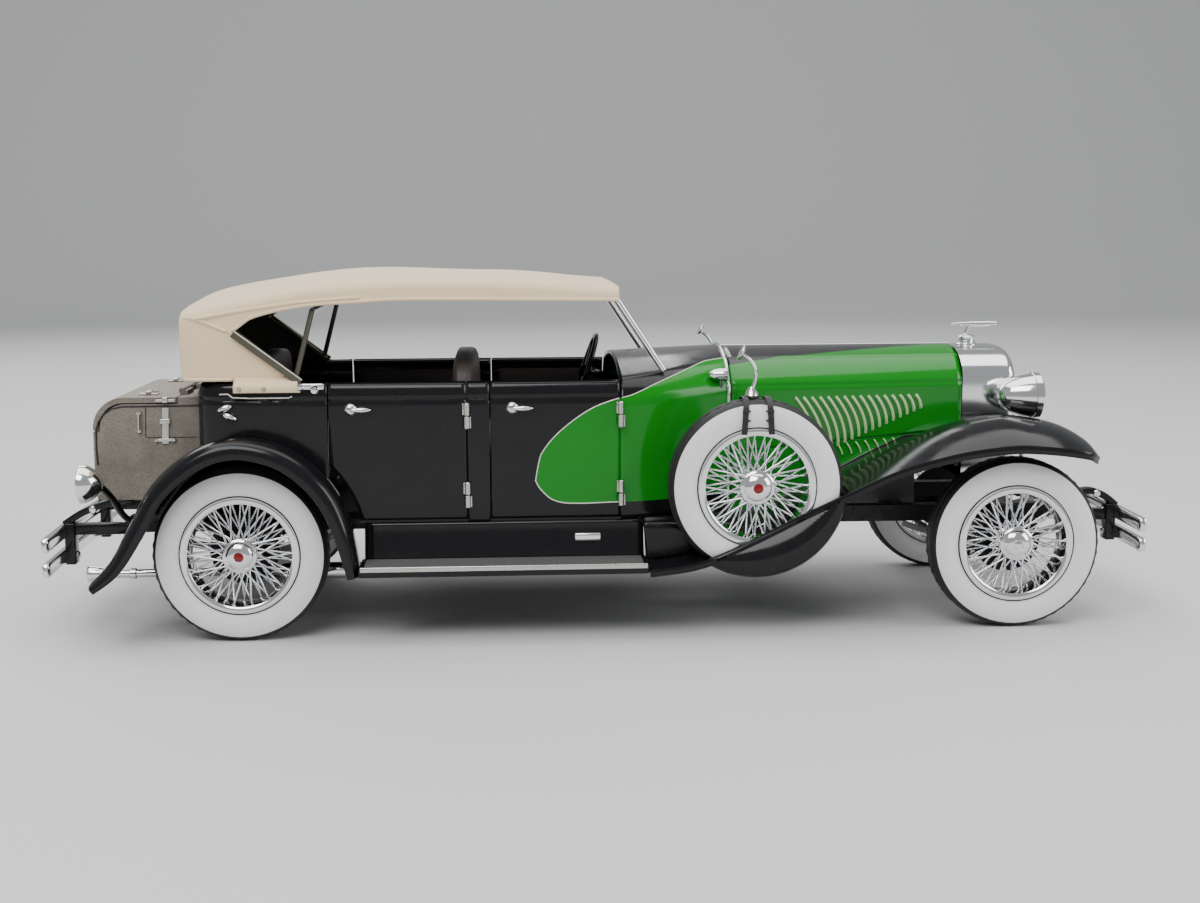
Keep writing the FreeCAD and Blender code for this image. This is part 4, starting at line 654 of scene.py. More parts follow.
class TOURER_OT_wheels(bpy.types.Operator):
    """Whitewall tyres, plated rims, hubs and laced spokes"""

    bl_idname = "tourer.wheels"
    bl_label = "Wheels"

    def execute(self, context):
        for end in ENDS:
            for name, side in SIDES:
                label = "%s_%s" % (end, name)
                disc = "chrome" if end == "front" else "red_enamel"
                self.wheel(label, middle("tyre_" + label), side, label + "_wheel", "tyre_" + label,
                           "wheel_" + label, disc)
        for name, side in SIDES:
            centre = Vector((SPARE.x, side * (high("spare_tyres").y - TYRE_PROFILE[5][1]), SPARE.z))
            self.wheel("spare_" + name, centre, side, "car", "spare_tyres", "spare_wheels", "red_enamel")
        return {"FINISHED"}

    def wheel(self, label, centre, side, body, tyre_node, wheel_node, disc):
        bm = bmesh.new()
        half = list(TYRE_PROFILE)
        profile = half + [(radius, -across) for radius, across in reversed(half)]
        faces = add_lathe(bm, profile, centre, (0, side, 0), steps=96, loop=True)
        for face in faces:
            spot = face.calc_center_median()
            radius = math.hypot(spot.x - centre.x, spot.z - centre.z)
            white = WHITE_BAND[0] < radius < WHITE_BAND[1] and abs(spot.y - centre.y) > 2.0
            face.material_index = 1 if white else 0
        self.cut_tread(bm, centre)
        piece("tyre_%s_visual" % label, bm, body, ["tyre_rubber", "whitewall"], [tyre_node])
        bm = bmesh.new()
        add_lathe(bm, RIM_PROFILE, centre, (0, side, 0), steps=96, loop=True)
        add_lathe(bm, HUB_PROFILE, centre, (0, side, 0), steps=48)
        add_lathe(bm, HUB_DISC, centre, (0, side, 0), steps=48, index=1)
        add_lathe(bm, ((1.05, -4.2), (1.05, 2.9), (0.0, 2.9)), centre, (0, side, 0), steps=24)
        piece("rim_%s_visual" % label, bm, body, ["chrome", disc], [wheel_node])
        self.spokes(label, centre, side, body)

    @staticmethod
    def cut_tread(bm, centre):
        """Cross grooves: every other narrow block of the outer ribs is pressed in a little."""
        for vert in bm.verts:
            radius = math.hypot(vert.co.x - centre.x, vert.co.z - centre.z)
            offset = abs(vert.co.y - centre.y)
            angle = math.atan2(vert.co.z - centre.z, vert.co.x - centre.x)
            step = round(angle / math.tau * 96)
            if 22.2 < radius and offset > 1.7 and step % 2:
                inward = Vector((centre.x - vert.co.x, 0, centre.z - vert.co.z)).normalized()
                vert.co += inward * 0.28

    @staticmethod
    def spokes(label, centre, side, body):
        pairs = sizes().spoke_pairs
        paths = []
        for hub_radius, hub_out, rim_out, lead, phase in ((3.1, 3.0, 1.2, 0.62, 0.0),
                                                          (2.8, -3.4, -0.8, 0.5, 0.5)):
            for number in range(pairs):
                for lean in (-1, 1):
                    base = math.tau * (number + phase) / pairs
                    start = base + lean * lead
                    ends = []
                    for angle, radius, out in ((start, hub_radius, hub_out),
                                               (base, 13.3, rim_out + lean * 0.9)):
                        ends.append(centre + Vector((radius * math.cos(angle), side * out,
                                                     radius * math.sin(angle))))
                    paths.append(ends)
        tube("spokes_%s_visual" % label, paths, sizes().spoke_radius / MM, body, "spoke_chrome",
             sides=1)


# ---------------------------------------------------------------- fenders and boards

FRONT_STATIONS = ((-96.8, 18.4, 0.3, 39.4, 51.4), (-84.0, 20.3, 0.5, 39.0, 51.4),
                  (-71.0, 25.7, 0.8, 36.0, 51.4),
                  (-58.0, 32.0, 1.0, 31.5, 51.4), (-45.5, 37.7, 1.2, 28.0, 51.4),
                  (-32.7, 43.2, 2.0, 26.0, 51.4),
                  (-17.2, 47.2, 4.2, 24.6, 51.4), (-4.3, 48.8, 5.2, 24.0, 51.4), (3.5, 48.7, 5.0, 24.0, 51.4),
                  (11.3, 47.9, 4.3, 24.6, 51.2), (17.5, 46.7, 2.6, 26.0, 49.8), (20.7, 45.2, 0.8, 29.0, 46.4))
REAR_STATIONS = ((-36.8, 16.1, 34.0, 0.5), (-31.2, 21.6, 34.0, 0.8), (-25.9, 30.7, 34.0, 1.0),
                 (-20.5, 40.2, 34.0, 1.0), (-12.9, 47.2, 36.5, 1.0), (-5.4, 50.9, 39.9, 1.0),
                 (2.4, 51.8, 39.9, 1.0),
                 (11.8, 49.3, 39.9, 1.0), (19.1, 44.2, 39.9, 1.0), (24.4, 37.6, 39.9, 1.0),
                 (27.6, 29.9, 39.9, 0.9),
                 (29.2, 22.2, 39.9, 0.7), (29.8, 17.5, 39.9, 0.5))
REAR_SECTION = ((0.0, -3.4), (0.0, -2.0), (0.35, -0.7), (1.4, 0.4), (3.4, 1.1), (6.0, 1.2), (9.0, 0.9),
                (11.5, 0.7))
WELL_SPAN = (25.3, 61.5)
WELL_EDGES = (39.9, 50.7)


def path_normal(rows, share):
    """Upward normal of a station line in the side view."""
    ahead = glide(rows, share + 0.01)
    behind = glide(rows, share - 0.01)
    run = Vector((ahead[0] - behind[0], 0, ahead[1] - behind[1])).normalized()
    return Vector((-run.z, 0, run.x))


def front_fender_spot(share, across, side, sink=0.0):
    """Point on a front fender: share along it, across from 0 at the lip to 1 at the inside."""
    x, z, dome, inner, outer = glide(FRONT_STATIONS, share)[:]
    crown = min(41.0, outer - 2.0)
    lip = max(0.06 - across, 0.0) / 0.06
    y = outer + (inner - outer) * max(across - 0.06, 0.0) / 0.94
    a, b, c = outer, crown, inner
    rise = (dome * (y - a) * (y - c) / ((b - a) * (b - c))
            + 0.8 * dome * (y - a) * (y - b) / ((c - a) * (c - b)))
    rise -= 1.5 * lip + sink
    return Vector((FRONT_AXLE.x + x, side * y, z)) + path_normal(FRONT_STATIONS, share) * rise


def fender_share(x):
    """Share along the front fender where its line reaches x."""
    low_share, high_share = 0.0, 1.0
    for _ in range(24):
        share = (low_share + high_share) / 2
        if FRONT_AXLE.x + glide(FRONT_STATIONS, share)[0] < x:
            low_share = share
        else:
            high_share = share
    return share


def rear_fender_spot(share, across, side):
    x, z, inner, full = glide(REAR_STATIONS, share)[:]
    inset, rise = glide(REAR_SECTION, across)[:]
    y = FENDER_OUT - inset * (FENDER_OUT - inner) / 11.5
    drop = rise * full
    return Vector((REAR_AXLE.x + x, side * y, z)) + path_normal(REAR_STATIONS, share) * drop


class TOURER_OT_fenders(bpy.types.Operator):
    """Front and rear fenders with their beads and the wells for the spare wheels"""

    bl_idname = "tourer.fenders"
    bl_label = "Fenders"

    def execute(self, context):
        bead = sizes().bead_radius / MM
        for name, side in SIDES:
            self.front(name, side)
            self.rear(name, side)
            front_bead = [front_fender_spot(i / 120, 0.0, side) + Vector((0, -side * bead, 0))
                          for i in range(121)]
            rear_bead = [rear_fender_spot(i / 90, 0.0, side) + Vector((0, -side * bead, 0))
                         for i in range(91)]
            tube("fender_beads_%s" % name, [front_bead, rear_bead], bead, "car", "black_lacquer")
        return {"FINISHED"}

    @staticmethod
    def front(name, side):
        bm = bmesh.new()
        add_patch(bm, 96, 28, lambda u, v: front_fender_spot(u, v, side))
        for axis, cuts in ((0, WELL_SPAN), (1, WELL_EDGES)):
            for cut in cuts:
                spot = Vector((cut, 0, 0)) if axis == 0 else Vector((0, side * cut, 0))
                normal = Vector((1, 0, 0)) if axis == 0 else Vector((0, 1, 0))
                slice_at(bm, spot, normal)
        doomed = []
        for face in bm.faces:
            spot = face.calc_center_median()
            if (WELL_SPAN[0] < spot.x < WELL_SPAN[1]
                    and WELL_EDGES[0] < abs(spot.y) < WELL_EDGES[1]):
                doomed.append(face)
        bmesh.ops.delete(bm, geom=doomed, context="FACES")
        aim(bm, bm.faces[:], (FRONT_AXLE.x - 30.0, side * 40.0, -60.0))
        piece("front_fender_" + name, bm, "car", ["black_lacquer"], ["front_fenders"],
              closed=False, wall=0.8)
        bm = bmesh.new()
        radius = TYRE_RADIUS + 0.9
        half = (FENDER_OUT - WELL_EDGES[0]) / 2 + 0.3
        centre = Vector((SPARE.x, side * (FENDER_OUT - half), SPARE.z))
        profile = [(0.0, -half), (radius - 2.0, -half), (radius - 0.6, -half + 0.6), (radius, -half + 2.0),
                   (radius, half - 2.0), (radius - 0.6, half - 0.6), (radius - 2.0, half), (0.0, half)]
        add_lathe(bm, profile, centre, (0, 1, 0), steps=96)
        bmesh.ops.recalc_face_normals(bm, faces=bm.faces[:])
        slice_at(bm, (24.0, 0, 19.6), (-17.4, 0, 38.5), clear=True)
        piece("spare_well_" + name, bm, "car", ["black_lacquer"], closed=False, wall=0.5)

    @staticmethod
    def rear(name, side):
        bm = bmesh.new()
        add_patch(bm, 90, 28, lambda u, v: rear_fender_spot(u, v, side))
        aim(bm, bm.faces[:], REAR_AXLE + Vector((0, (side + 1) * 39.5 - 5.0 * side, 0)))
        piece("rear_fender_" + name, bm, "car", ["black_lacquer"], ["rear_fenders"],
              closed=False, wall=0.8)


class TOURER_OT_boards(bpy.types.Operator):
    """Running boards with ribbed mats and bright edges, and the splash aprons"""

    bl_idname = "tourer.boards"
    bl_label = "Running boards"

    def execute(self, context):
        start, end = low("running_boards"), high("running_boards")
        apron_out = high("splash_aprons").y
        for name, side in SIDES:
            bm = bmesh.new()
            add_block(bm, (start.x, side * (apron_out - 0.8), start.z),
                      (end.x, side * (end.y - 0.3), end.z - 0.3),
                      soft=0.5)
            ribs = 12
            for number in range(ribs):
                y = 40.0 + 10.0 * number / (ribs - 1)
                add_block(bm, (start.x + 1.5, side * (y - 0.25), end.z - 0.4),
                          (end.x - 1.5, side * (y + 0.25), end.z),
                          index=1)
            add_block(bm, (start.x + 0.5, side * (end.y - 0.5), start.z + 1.5),
                      (end.x - 0.5, side * end.y, end.z),
                      soft=0.2, index=2)
            piece("running_board_" + name, bm, "car", ["black_lacquer", "board_rubber", "nickel"],
                  ["running_boards"])
            bm = bmesh.new()
            front, back = high("splash_aprons").x, low("splash_aprons").x

            def apron(u, v):
                flare = 1.8 * (1 - v) ** 2
                return Vector((back + (front - back) * u, side * (apron_out + 0.3 + flare),
                               BOARD_TOP - 0.4 + (BODY_LOW + 0.4 - BOARD_TOP) * v))

            add_patch(bm, 24, 12, apron)
            aim(bm, bm.faces[:], (-25.0, 0, 25.0))
            piece("splash_apron_" + name, bm, "car", ["black_lacquer"], ["splash_aprons"],
                  closed=False, wall=0.6)
            self.cowl_apron(name, side, front)
            self.fitting(name, side, apron_out)
        return {"FINISHED"}

    @staticmethod
    def cowl_apron(name, side, start):
        """Panel from the cowl's lower edge down to the front fender's inner edge."""

        def panel(u, v):
            x = start + (COWL_FRONT - start) * u
            edge = front_fender_spot(fender_share(x), 1.0, side)
            top = Vector((x, side * (body_half(x) - 0.4), BODY_LOW + 0.6))
            turn = Vector((x, edge.y, max(edge.z, BODY_LOW - 1.5)))
            return glide((edge, (edge + turn) / 2, turn, (turn + top) / 2, top), v)

        bm = bmesh.new()
        add_patch(bm, 24, 16, panel)
        aim(bm, bm.faces[:], (20.0, 0, 10.0))
        piece("cowl_apron_" + name, bm, "car", ["black_lacquer"], closed=False, wall=0.6)

    @staticmethod
    def fitting(name, side, out):
        """Bright oval step plate on the apron."""
        bm = bmesh.new()
        add_block(bm, (-7.4, side * (out + 0.6), 24.0), (-0.6, side * (out + 1.4), 26.2), 0.35)
        piece("apron_fitting_" + name, bm, "car", ["chrome"])


# ---------------------------------------------------------------- body

DOOR_GAP = 0.3
MIDDLE_HINGE = -34.9
FRONT_DOOR_REAR = -29.0
BODY_MOULDING = ((0.5, 0.0), (0.12, 0.06), (0.0, 0.2), (0.0, 0.82), (0.05, 0.86), (0.3, 0.875), (0.05, 0.89),
                 (0.15, 0.93), (0.6, 0.975), (1.5, 1.0))
HINGE_LEVELS = (36.7, 57.2)
HINGE_OUT = 40.3


def body_half(x):
    """Half the body's width at x, doors and cowl included."""
    if x >= COWL_REAR:
        taper = min((x - COWL_REAR) / (COWL_FRONT - COWL_REAR), 1.0) ** 1.6
        return 38.7 - 13.7 * taper
    return ease(((BODY_REAR + 14.0, 38.4), (-70.0, 39.2), (-49.9, 39.4), (-25.0, 39.2), (COWL_REAR, 38.7)), x)


def side_spot(x, v, side, bottom=None):
    """Point on the body's side at x, v from 0 at its lower edge to 1 at the belt."""
    bottom = BODY_LOW if bottom is None else bottom
    z = bottom + (BELT - bottom) * v
    level = (z - BODY_LOW) / (BELT - BODY_LOW)
    inset = ease([(row[1], row[0]) for row in BODY_MOULDING], level)
    return Vector((x, side * (body_half(x) - inset), z))


def fender_edge(z, radius):
    """x of the arc round the rear wheel at a height."""
    rise = z - REAR_AXLE.z
    return REAR_AXLE.x + math.sqrt(max(radius ** 2 - rise ** 2, 0.0))


def add_knuckle(bm, x, side, start, end, leaf):
    """Half of a slim hinge: a rounded barrel and a leaf let into the panel."""
    y = side * HINGE_OUT
    half = (end - start) / 2
    add_lathe(bm,
              ((0.0, -half), (0.5, -half), (0.78, -half + 0.25), (0.78, half - 0.25), (0.5, half),
               (0.0, half)),
              (x, y, start + half), (0, 0, 1), 20)
    add_block(bm, (x, side * (HINGE_OUT - 1.6), start + 0.2), (x + leaf, y, end - 0.2), 0.12)


class TOURER_OT_doors(bpy.types.Operator):
    """Four doors with padded linings, lever handles and hinge leaves"""

    bl_idname = "tourer.doors"
    bl_label = "Doors"

    def execute(self, context):
        for end in ENDS:
            for name, side in SIDES:
                self.door(end, name, side)
        self.fixed_knuckles()
        return {"FINISHED"}

    def door(self, end, name, side):
        label = "%s_%s" % (end, name)
        body = label + "_door"
        start = low("door_" + label)
        front = COWL_REAR - DOOR_GAP / 2 if end == "front" else MIDDLE_HINGE - DOOR_GAP / 2
        back = FRONT_DOOR_REAR + DOOR_GAP / 2 if end == "front" else start.x
        bottom = start.z

        def reach(v):
            z = bottom + (BELT - bottom) * v
            return max(back, fender_edge(z, 31.8)) if end == "rear" else back

        def skin(u, v):
            z = BODY_MOULDING[-1][1] * v
            x = reach(z) + (front - reach(z)) * u
            return side_spot(x, z, side, bottom)

        bm = bmesh.new()
        faces = add_patch(bm, 30, 64, skin)
        aim(bm, faces, ((front + back) / 2, 0, 45.0))
        paint = "two_tone_lacquer" if end == "front" else "black_lacquer"
        piece("door_skin_" + label, bm, body, [paint], ["door_" + label], closed=False,
              wall=1.5)
        self.lining(label, body, side, front, back, reach)
        self.handle(label, body, side, back)
        self.leaves(label, body, side, front)

    @staticmethod
    def lining(label, body, side, front, back, reach):
        """Leather panel inside the door."""
        bm = bmesh.new()

        def panel(u, v):
            z = 0.12 + 0.8 * v
            x = reach(z) + 1.2 + (front - reach(z) - 2.4) * u
            spot = side_spot(x, z, side)
            edge = min(u, 1 - u, v, 1 - v)
            puff = 0.5 * min(edge / 0.12, 1.0) ** 0.5
            return Vector((spot.x, side * (body_half(x) - 1.5 - puff), spot.z))

        faces = add_patch(bm, 24, 24, panel)
        aim(bm, faces, ((front + back) / 2, side * 80.0, 45.0))
        piece("door_lining_" + label, bm, body, ["seat_leather"], closed=False,
                        wall=0.4)

    @staticmethod
    def handle(label, body, side, back):
        """Tapered lever on a small rose."""
        centre = middle("handle_" + label)
        x = low("handle_" + label).x + 1.6
        y = side * body_half(x)
        bm = bmesh.new()
        add_lathe(bm, ((0.0, 0.9), (0.8, 0.8), (1.3, 0.5), (1.6, 0.0), (0.0, 0.0)), (x, y, centre.z),
                  (0, side, 0), 24)
        add_lathe(bm, ((0.0, 1.6), (0.5, 1.5), (0.6, 1.2), (0.45, 0.8), (0.45, 0.2)), (x, y, centre.z),
                  (0, side, 0), 16)
        rows = ((0.0, 0.45), (1.2, 0.6), (2.6, 0.75), (4.0, 0.6), (5.0, 0.3), (5.3, 0.05))
        add_lathe(bm, [(0.0, -0.5)] + [(r, d) for d, r in rows] + [(0.0, 5.35)],
                  (x, y + side * 1.15, centre.z),
                  (1, 0, 0), 16)
        piece("door_handle_" + label, bm, body, ["chrome"], ["handle_" + label])

    @staticmethod
    def leaves(label, body, side, front):
        """Upper halves of the hinges, which move with the door."""
        bm = bmesh.new()
        for level in HINGE_LEVELS:
            add_knuckle(bm, front + DOOR_GAP / 2, side, level + 0.05, level + 3.4, -1.1)
        piece("door_knuckles_" + label, bm, body, ["nickel"])

    @staticmethod
    def fixed_knuckles():
        """Lower halves of the hinges, on the cowl and on the middle posts."""
        bm = bmesh.new()
        for x in (COWL_REAR, MIDDLE_HINGE):
            for _, side in SIDES:
                for level in HINGE_LEVELS:
                    add_knuckle(bm, x, side, level - 3.4, level - 0.05, 1.1)
        piece("fixed_knuckles", bm, "car", ["nickel"], ["door_hinges"])


class TOURER_OT_body(bpy.types.Operator):
    """Rear quarters and tail, door posts, sills and the carpeted floor"""

    bl_idname = "tourer.body"
    bl_label = "Body"

    def execute(self, context):
        half_plan = self.plan()
        arch = 26.9

        def skin(u, v):
            share = abs(2 * u - 1)
            side = -1 if u < 0.5 else 1
            x, y = glide(half_plan, 1 - share)[:]
            dx = x - REAR_AXLE.x
            bottom = max(BODY_LOW, REAR_AXLE.z + math.sqrt(max(arch ** 2 - dx ** 2, 0.0)))
            z = bottom + (BELT - bottom) * v
            level = (z - BODY_LOW) / (BELT - BODY_LOW)
            inset = ease([(row[1], row[0]) for row in BODY_MOULDING], level)
            spot = Vector((x, y))
            before, after = glide(half_plan, 1 - share - 0.02), glide(half_plan, 1 - share + 0.02)
            run = Vector((after[0] - before[0], after[1] - before[1])).normalized()
            inward = Vector((-run.y, run.x)) if run.length else Vector((0, -1))
            if share < 1e-6:
                inward = Vector((1.0, 0.0))
            if inward.dot(Vector((-60.0, 0.0)) - spot) < 0:
                inward = -inward
            spot = spot + inward * inset
            return Vector((spot.x, side * spot.y, z))

        bm = bmesh.new()
        faces = add_patch(bm, 120, 48, skin)
        aim(bm, faces, (-80.0, 0, 45.0))
        piece("rear_body", bm, "car", ["black_lacquer"], ["body_shell"], closed=False,
              wall=1.5)
        bm = bmesh.new()
        for _, side in SIDES:
            faces = add_patch(bm, 6, 48, lambda u, v: side_spot(MIDDLE_HINGE + 0.05 + 5.8 * u, v, side))
            aim(bm, faces, (-32.0, 0, 45.0))
        piece("door_posts", bm, "car", ["black_lacquer"], closed=False, wall=2.6)
        bm = bmesh.new()
        add_block(bm, (BODY_REAR + 3.0, -32.6, BODY_LOW), (COWL_REAR, 32.6, BODY_LOW + 1.6))
        add_block(bm, (-66.0, -38.0, BODY_LOW), (COWL_REAR, 38.0, BODY_LOW + 0.7))
        add_block(bm, (BODY_REAR + 3.0, -32.0, BODY_LOW + 1.6), (COWL_REAR, 32.0, BODY_LOW + 2.4), 0.3,
                  index=1)
        piece("floor", bm, "car", ["black_lacquer", "carpet"])
        bm = bmesh.new()
        for _, side in SIDES:
            add_lathe(bm, ((25.9, 6.4), (25.9, 0.0), (0.0, 0.0)),
                      (REAR_AXLE.x, side * 32.6, REAR_AXLE.z), (0, side, 0), 64)
        slice_at(bm, (0, 0, BODY_LOW), (0, 0, -1), clear=True)
        piece("wheel_arches", bm, "car", ["black_lacquer"], closed=False, wall=0.5)
        return {"FINISHED"}

    @staticmethod
    def plan():
        """Half of the rear body's plan, from the rear door round to the middle of the tail."""
        rear = BODY_REAR
        return ((-70.5, 39.2), (-76.0, 39.0), (-82.0, 38.8), (-88.0, 38.5), (-93.5, 37.9), (-98.0, 36.9),
                (-101.5, 35.1), (-103.6, 32.8), (rear, 29.6), (rear, 24.0), (rear, 16.0), (rear, 8.0),
                (rear, 0.0))


# ---------------------------------------------------------------- cowl, hood and radiator

SKIRT_LOUVRES = 8
HOOD_SEAM = 62.6


def hood_half(share):
    """Half the hood's width at a share of its length."""
    return 25.0 - 7.0 * share


def hood_floor(share):
    """Height of the hood's lower edge at a share of its length."""
    return 45.0 + 5.0 * share


def hood_share(x):
    return (x - HOOD_REAR) / (HOOD_FRONT - HOOD_REAR)


def arch_spot(x, v, half, floor, seam, inset, drop, crown):
    """Point of a hood-like section, v from 0 at one lower edge to 1 at the other."""
    side = -1 if v < 0.5 else 1
    share = 1 - abs(2 * v - 1)
    crease = Vector((half - inset, crown - drop))
    edge = Vector((half, seam))
    if share < 0.4:
        y, z = half, floor + (seam - floor) * share / 0.4
    elif share < 0.65:
        t = (share - 0.4) / 0.25
        bulge = (edge + crease) / 2 + Vector((1.5, 0.9))
        y, z = (edge * (1 - t) ** 2 + bulge * 2 * t * (1 - t) + crease * t ** 2)[:]
    else:
        t = (share - 0.65) / 0.35
        y = crease.x * (1 - t)
        z = crown - drop * (y / crease.x) ** 2
    return Vector((x, side * y, z))


def cowl_spot(u, v, grow=0.0):
    x = COWL_REAR + (COWL_FRONT - COWL_REAR) * u
    return arch_spot(x, v, body_half(x) + grow, BODY_LOW, 60.5 + 2.1 * u, 4.5 + 3.5 * u,
                     4.2 - 1.8 * u, 70.4 + 1.6 * u + grow)


def cowl_flank(x, z, side):
    """Point on the cowl's side at x whose height is z."""
    share = (x - COWL_REAR) / (COWL_FRONT - COWL_REAR)
    low_v, high_v = 0.0, 0.5
    for _ in range(24):
        v = (low_v + high_v) / 2
        if cowl_spot(share, v).z < z:
            low_v = v
        else:
            high_v = v
    spot = cowl_spot(share, v, 0.05)
    return Vector((x, side * abs(spot.y), spot.z))


def hood_spot(u, v, grow=0.0):
    x = HOOD_REAR + (HOOD_FRONT - HOOD_REAR) * u
    return arch_spot(x, v, hood_half(u) + grow, hood_floor(u), HOOD_SEAM, 8.0 - 2.0 * u, 2.4,
                     HOOD_TOP + grow)


class TOURER_OT_hood(bpy.types.Operator):
    """Cowl, the two hood halves with their louvres, and the panels below them"""

    bl_idname = "tourer.hood"
    bl_label = "Cowl and hood"

    def execute(self, context):
        bm = bmesh.new()
        faces = add_patch(bm, 36, 80, cowl_spot)
        aim(bm, faces, (20.0, 0, 40.0))
        piece("cowl_skin", bm, "car", ["two_tone_lacquer"], ["cowl"], closed=False, crease=50,
              wall=1.2)
        tube("cowl_band", [[cowl_spot(0.985, i / 60, 0.15) for i in range(61)]], 0.5, "car", "chrome")
        for name, side in SIDES:
            self.half(name, side)
            self.louvres(name, side)
            self.skirt(name, side)
            self.stripes(name, side)
        repaint(["hood_hinge_rod"], "chrome")
        return {"FINISHED"}

    @staticmethod
    def half(name, side):
        bm = bmesh.new()
        span = (0.0, 0.487) if side < 0 else (0.513, 1.0)

        def skin(u, v):
            spot = hood_spot(u, span[0] + (span[1] - span[0]) * v)
            share = 1 - abs(2 * (span[0] + (span[1] - span[0]) * v) - 1)
            groove = math.exp(-((share - 0.4) / 0.012) ** 2)
            ridge = math.exp(-((share - 0.65) / 0.012) ** 2)
            spot.y -= side * 0.35 * groove
            spot.z += 0.3 * ridge
            return spot

        faces = add_patch(bm, 48, 96, skin)
        aim(bm, faces, (67.0, 0, 40.0))
        piece("hood_skin_" + name, bm, name + "_hood", ["hood_lacquer"], ["hood_" + name],
              closed=False, crease=60, wall=0.8)

    @staticmethod
    def louvres(name, side):
        """Raised crescents that lean forward, shorter towards the nose, painted pale green as a painted
        highlight.
        """
        paths = []
        count = sizes().louvres
        for number in range(count):
            x = 52.9 + 2.25 * number
            top = 59.3
            foot = 45.0 + 0.36 * (x - 57.0)
            reach = 0.4 * (top - foot)
            path = []
            for step in range(11):
                t = step / 10
                spot = x + reach * (1 - (1 - t) ** 2)
                sink = 0.25 if 0 < step < 10 else -0.1
                path.append(Vector((spot, side * (hood_half(hood_share(spot)) + sink),
                                    top - (top - foot) * t)))
            paths.append(path)
        tube("louvres_" + name, paths, sizes().louvre_radius / MM, name + "_hood", "louvre_painted_highlight")

    @staticmethod
    def skirt(name, side):
        """Fixed panel from the hood's lower edge down behind the fender."""
        bm = bmesh.new()

        def panel(u, v):
            x = COWL_FRONT + (HOOD_FRONT - COWL_FRONT) * u
            top = hood_floor(hood_share(x)) - 0.2
            half = hood_half(hood_share(x)) - 0.1
            edge = front_fender_spot(fender_share(x), 1.0, side)
            edge.z = min(edge.z, top - 0.6)
            foot = Vector((x, side * (half + 0.6), max(min(edge.z, top - 0.5), BODY_LOW)))
            return glide((edge, (edge + foot) / 2, foot, Vector((x, side * half, (foot.z + top) / 2)),
                          Vector((x, side * half, top))), v)

        faces = add_patch(bm, 60, 24, panel)
        aim(bm, faces, (67.0, 0, 20.0))
        for face in faces:
            face.material_index = int(abs(face.normal.z) > 0.5)
        piece("hood_skirt_" + name, bm, "car", ["green_lacquer", "black_lacquer"],
              closed=False, wall=0.6)
        # The small louvres below are painted pale green as well: painted highlight, as on the hood's louvres.
        paths = []
        for number in range(SKIRT_LOUVRES):
            x = 62.0 + 2.6 * number
            share = hood_share(x)
            top = Vector((x, side * (hood_half(share) - 0.1), hood_floor(share) - 0.8))
            paths.append([top, top + Vector((1.1, side * 0.35, -1.2)), top + Vector((1.6, side * 0.1, -3.0))])
        tube("skirt_louvres_" + name, paths, 0.22, "car", "louvre_painted_highlight", straight=False)

    @staticmethod
    def stripes(name, side):
        """Fine line round the sweep, on the door and on the cowl."""
        rows = []
        for line in (SWEEP_LOW, SWEEP_TOP):
            rows.append([(x, ease(line, x)) for x in
                         [line[0][0] + (COWL_FRONT - line[0][0]) * (i / 90) ** 1.6 for i in range(91)]])
        loop = list(reversed(rows[0])) + rows[1]
        door = [spot for spot in loop if spot[0] <= COWL_REAR - 0.3]
        tube("sweep_line_" + name, [[Vector((x, side * (body_half(x) + 0.02), z)) for x, z in door]], 0.16,
             "front_%s_door" % name, "pinstripe_and_highlight", sides=1)
        cowl = [(x, ease(SWEEP_TOP, x)) for x in (COWL_REAR + 0.4 + 2.6 * i for i in range(12))]
        tube("cowl_line_" + name, [[cowl_flank(x, z, side) for x, z in cowl]], 0.14, "car", "pinstripe_and_highlight",
             sides=1)


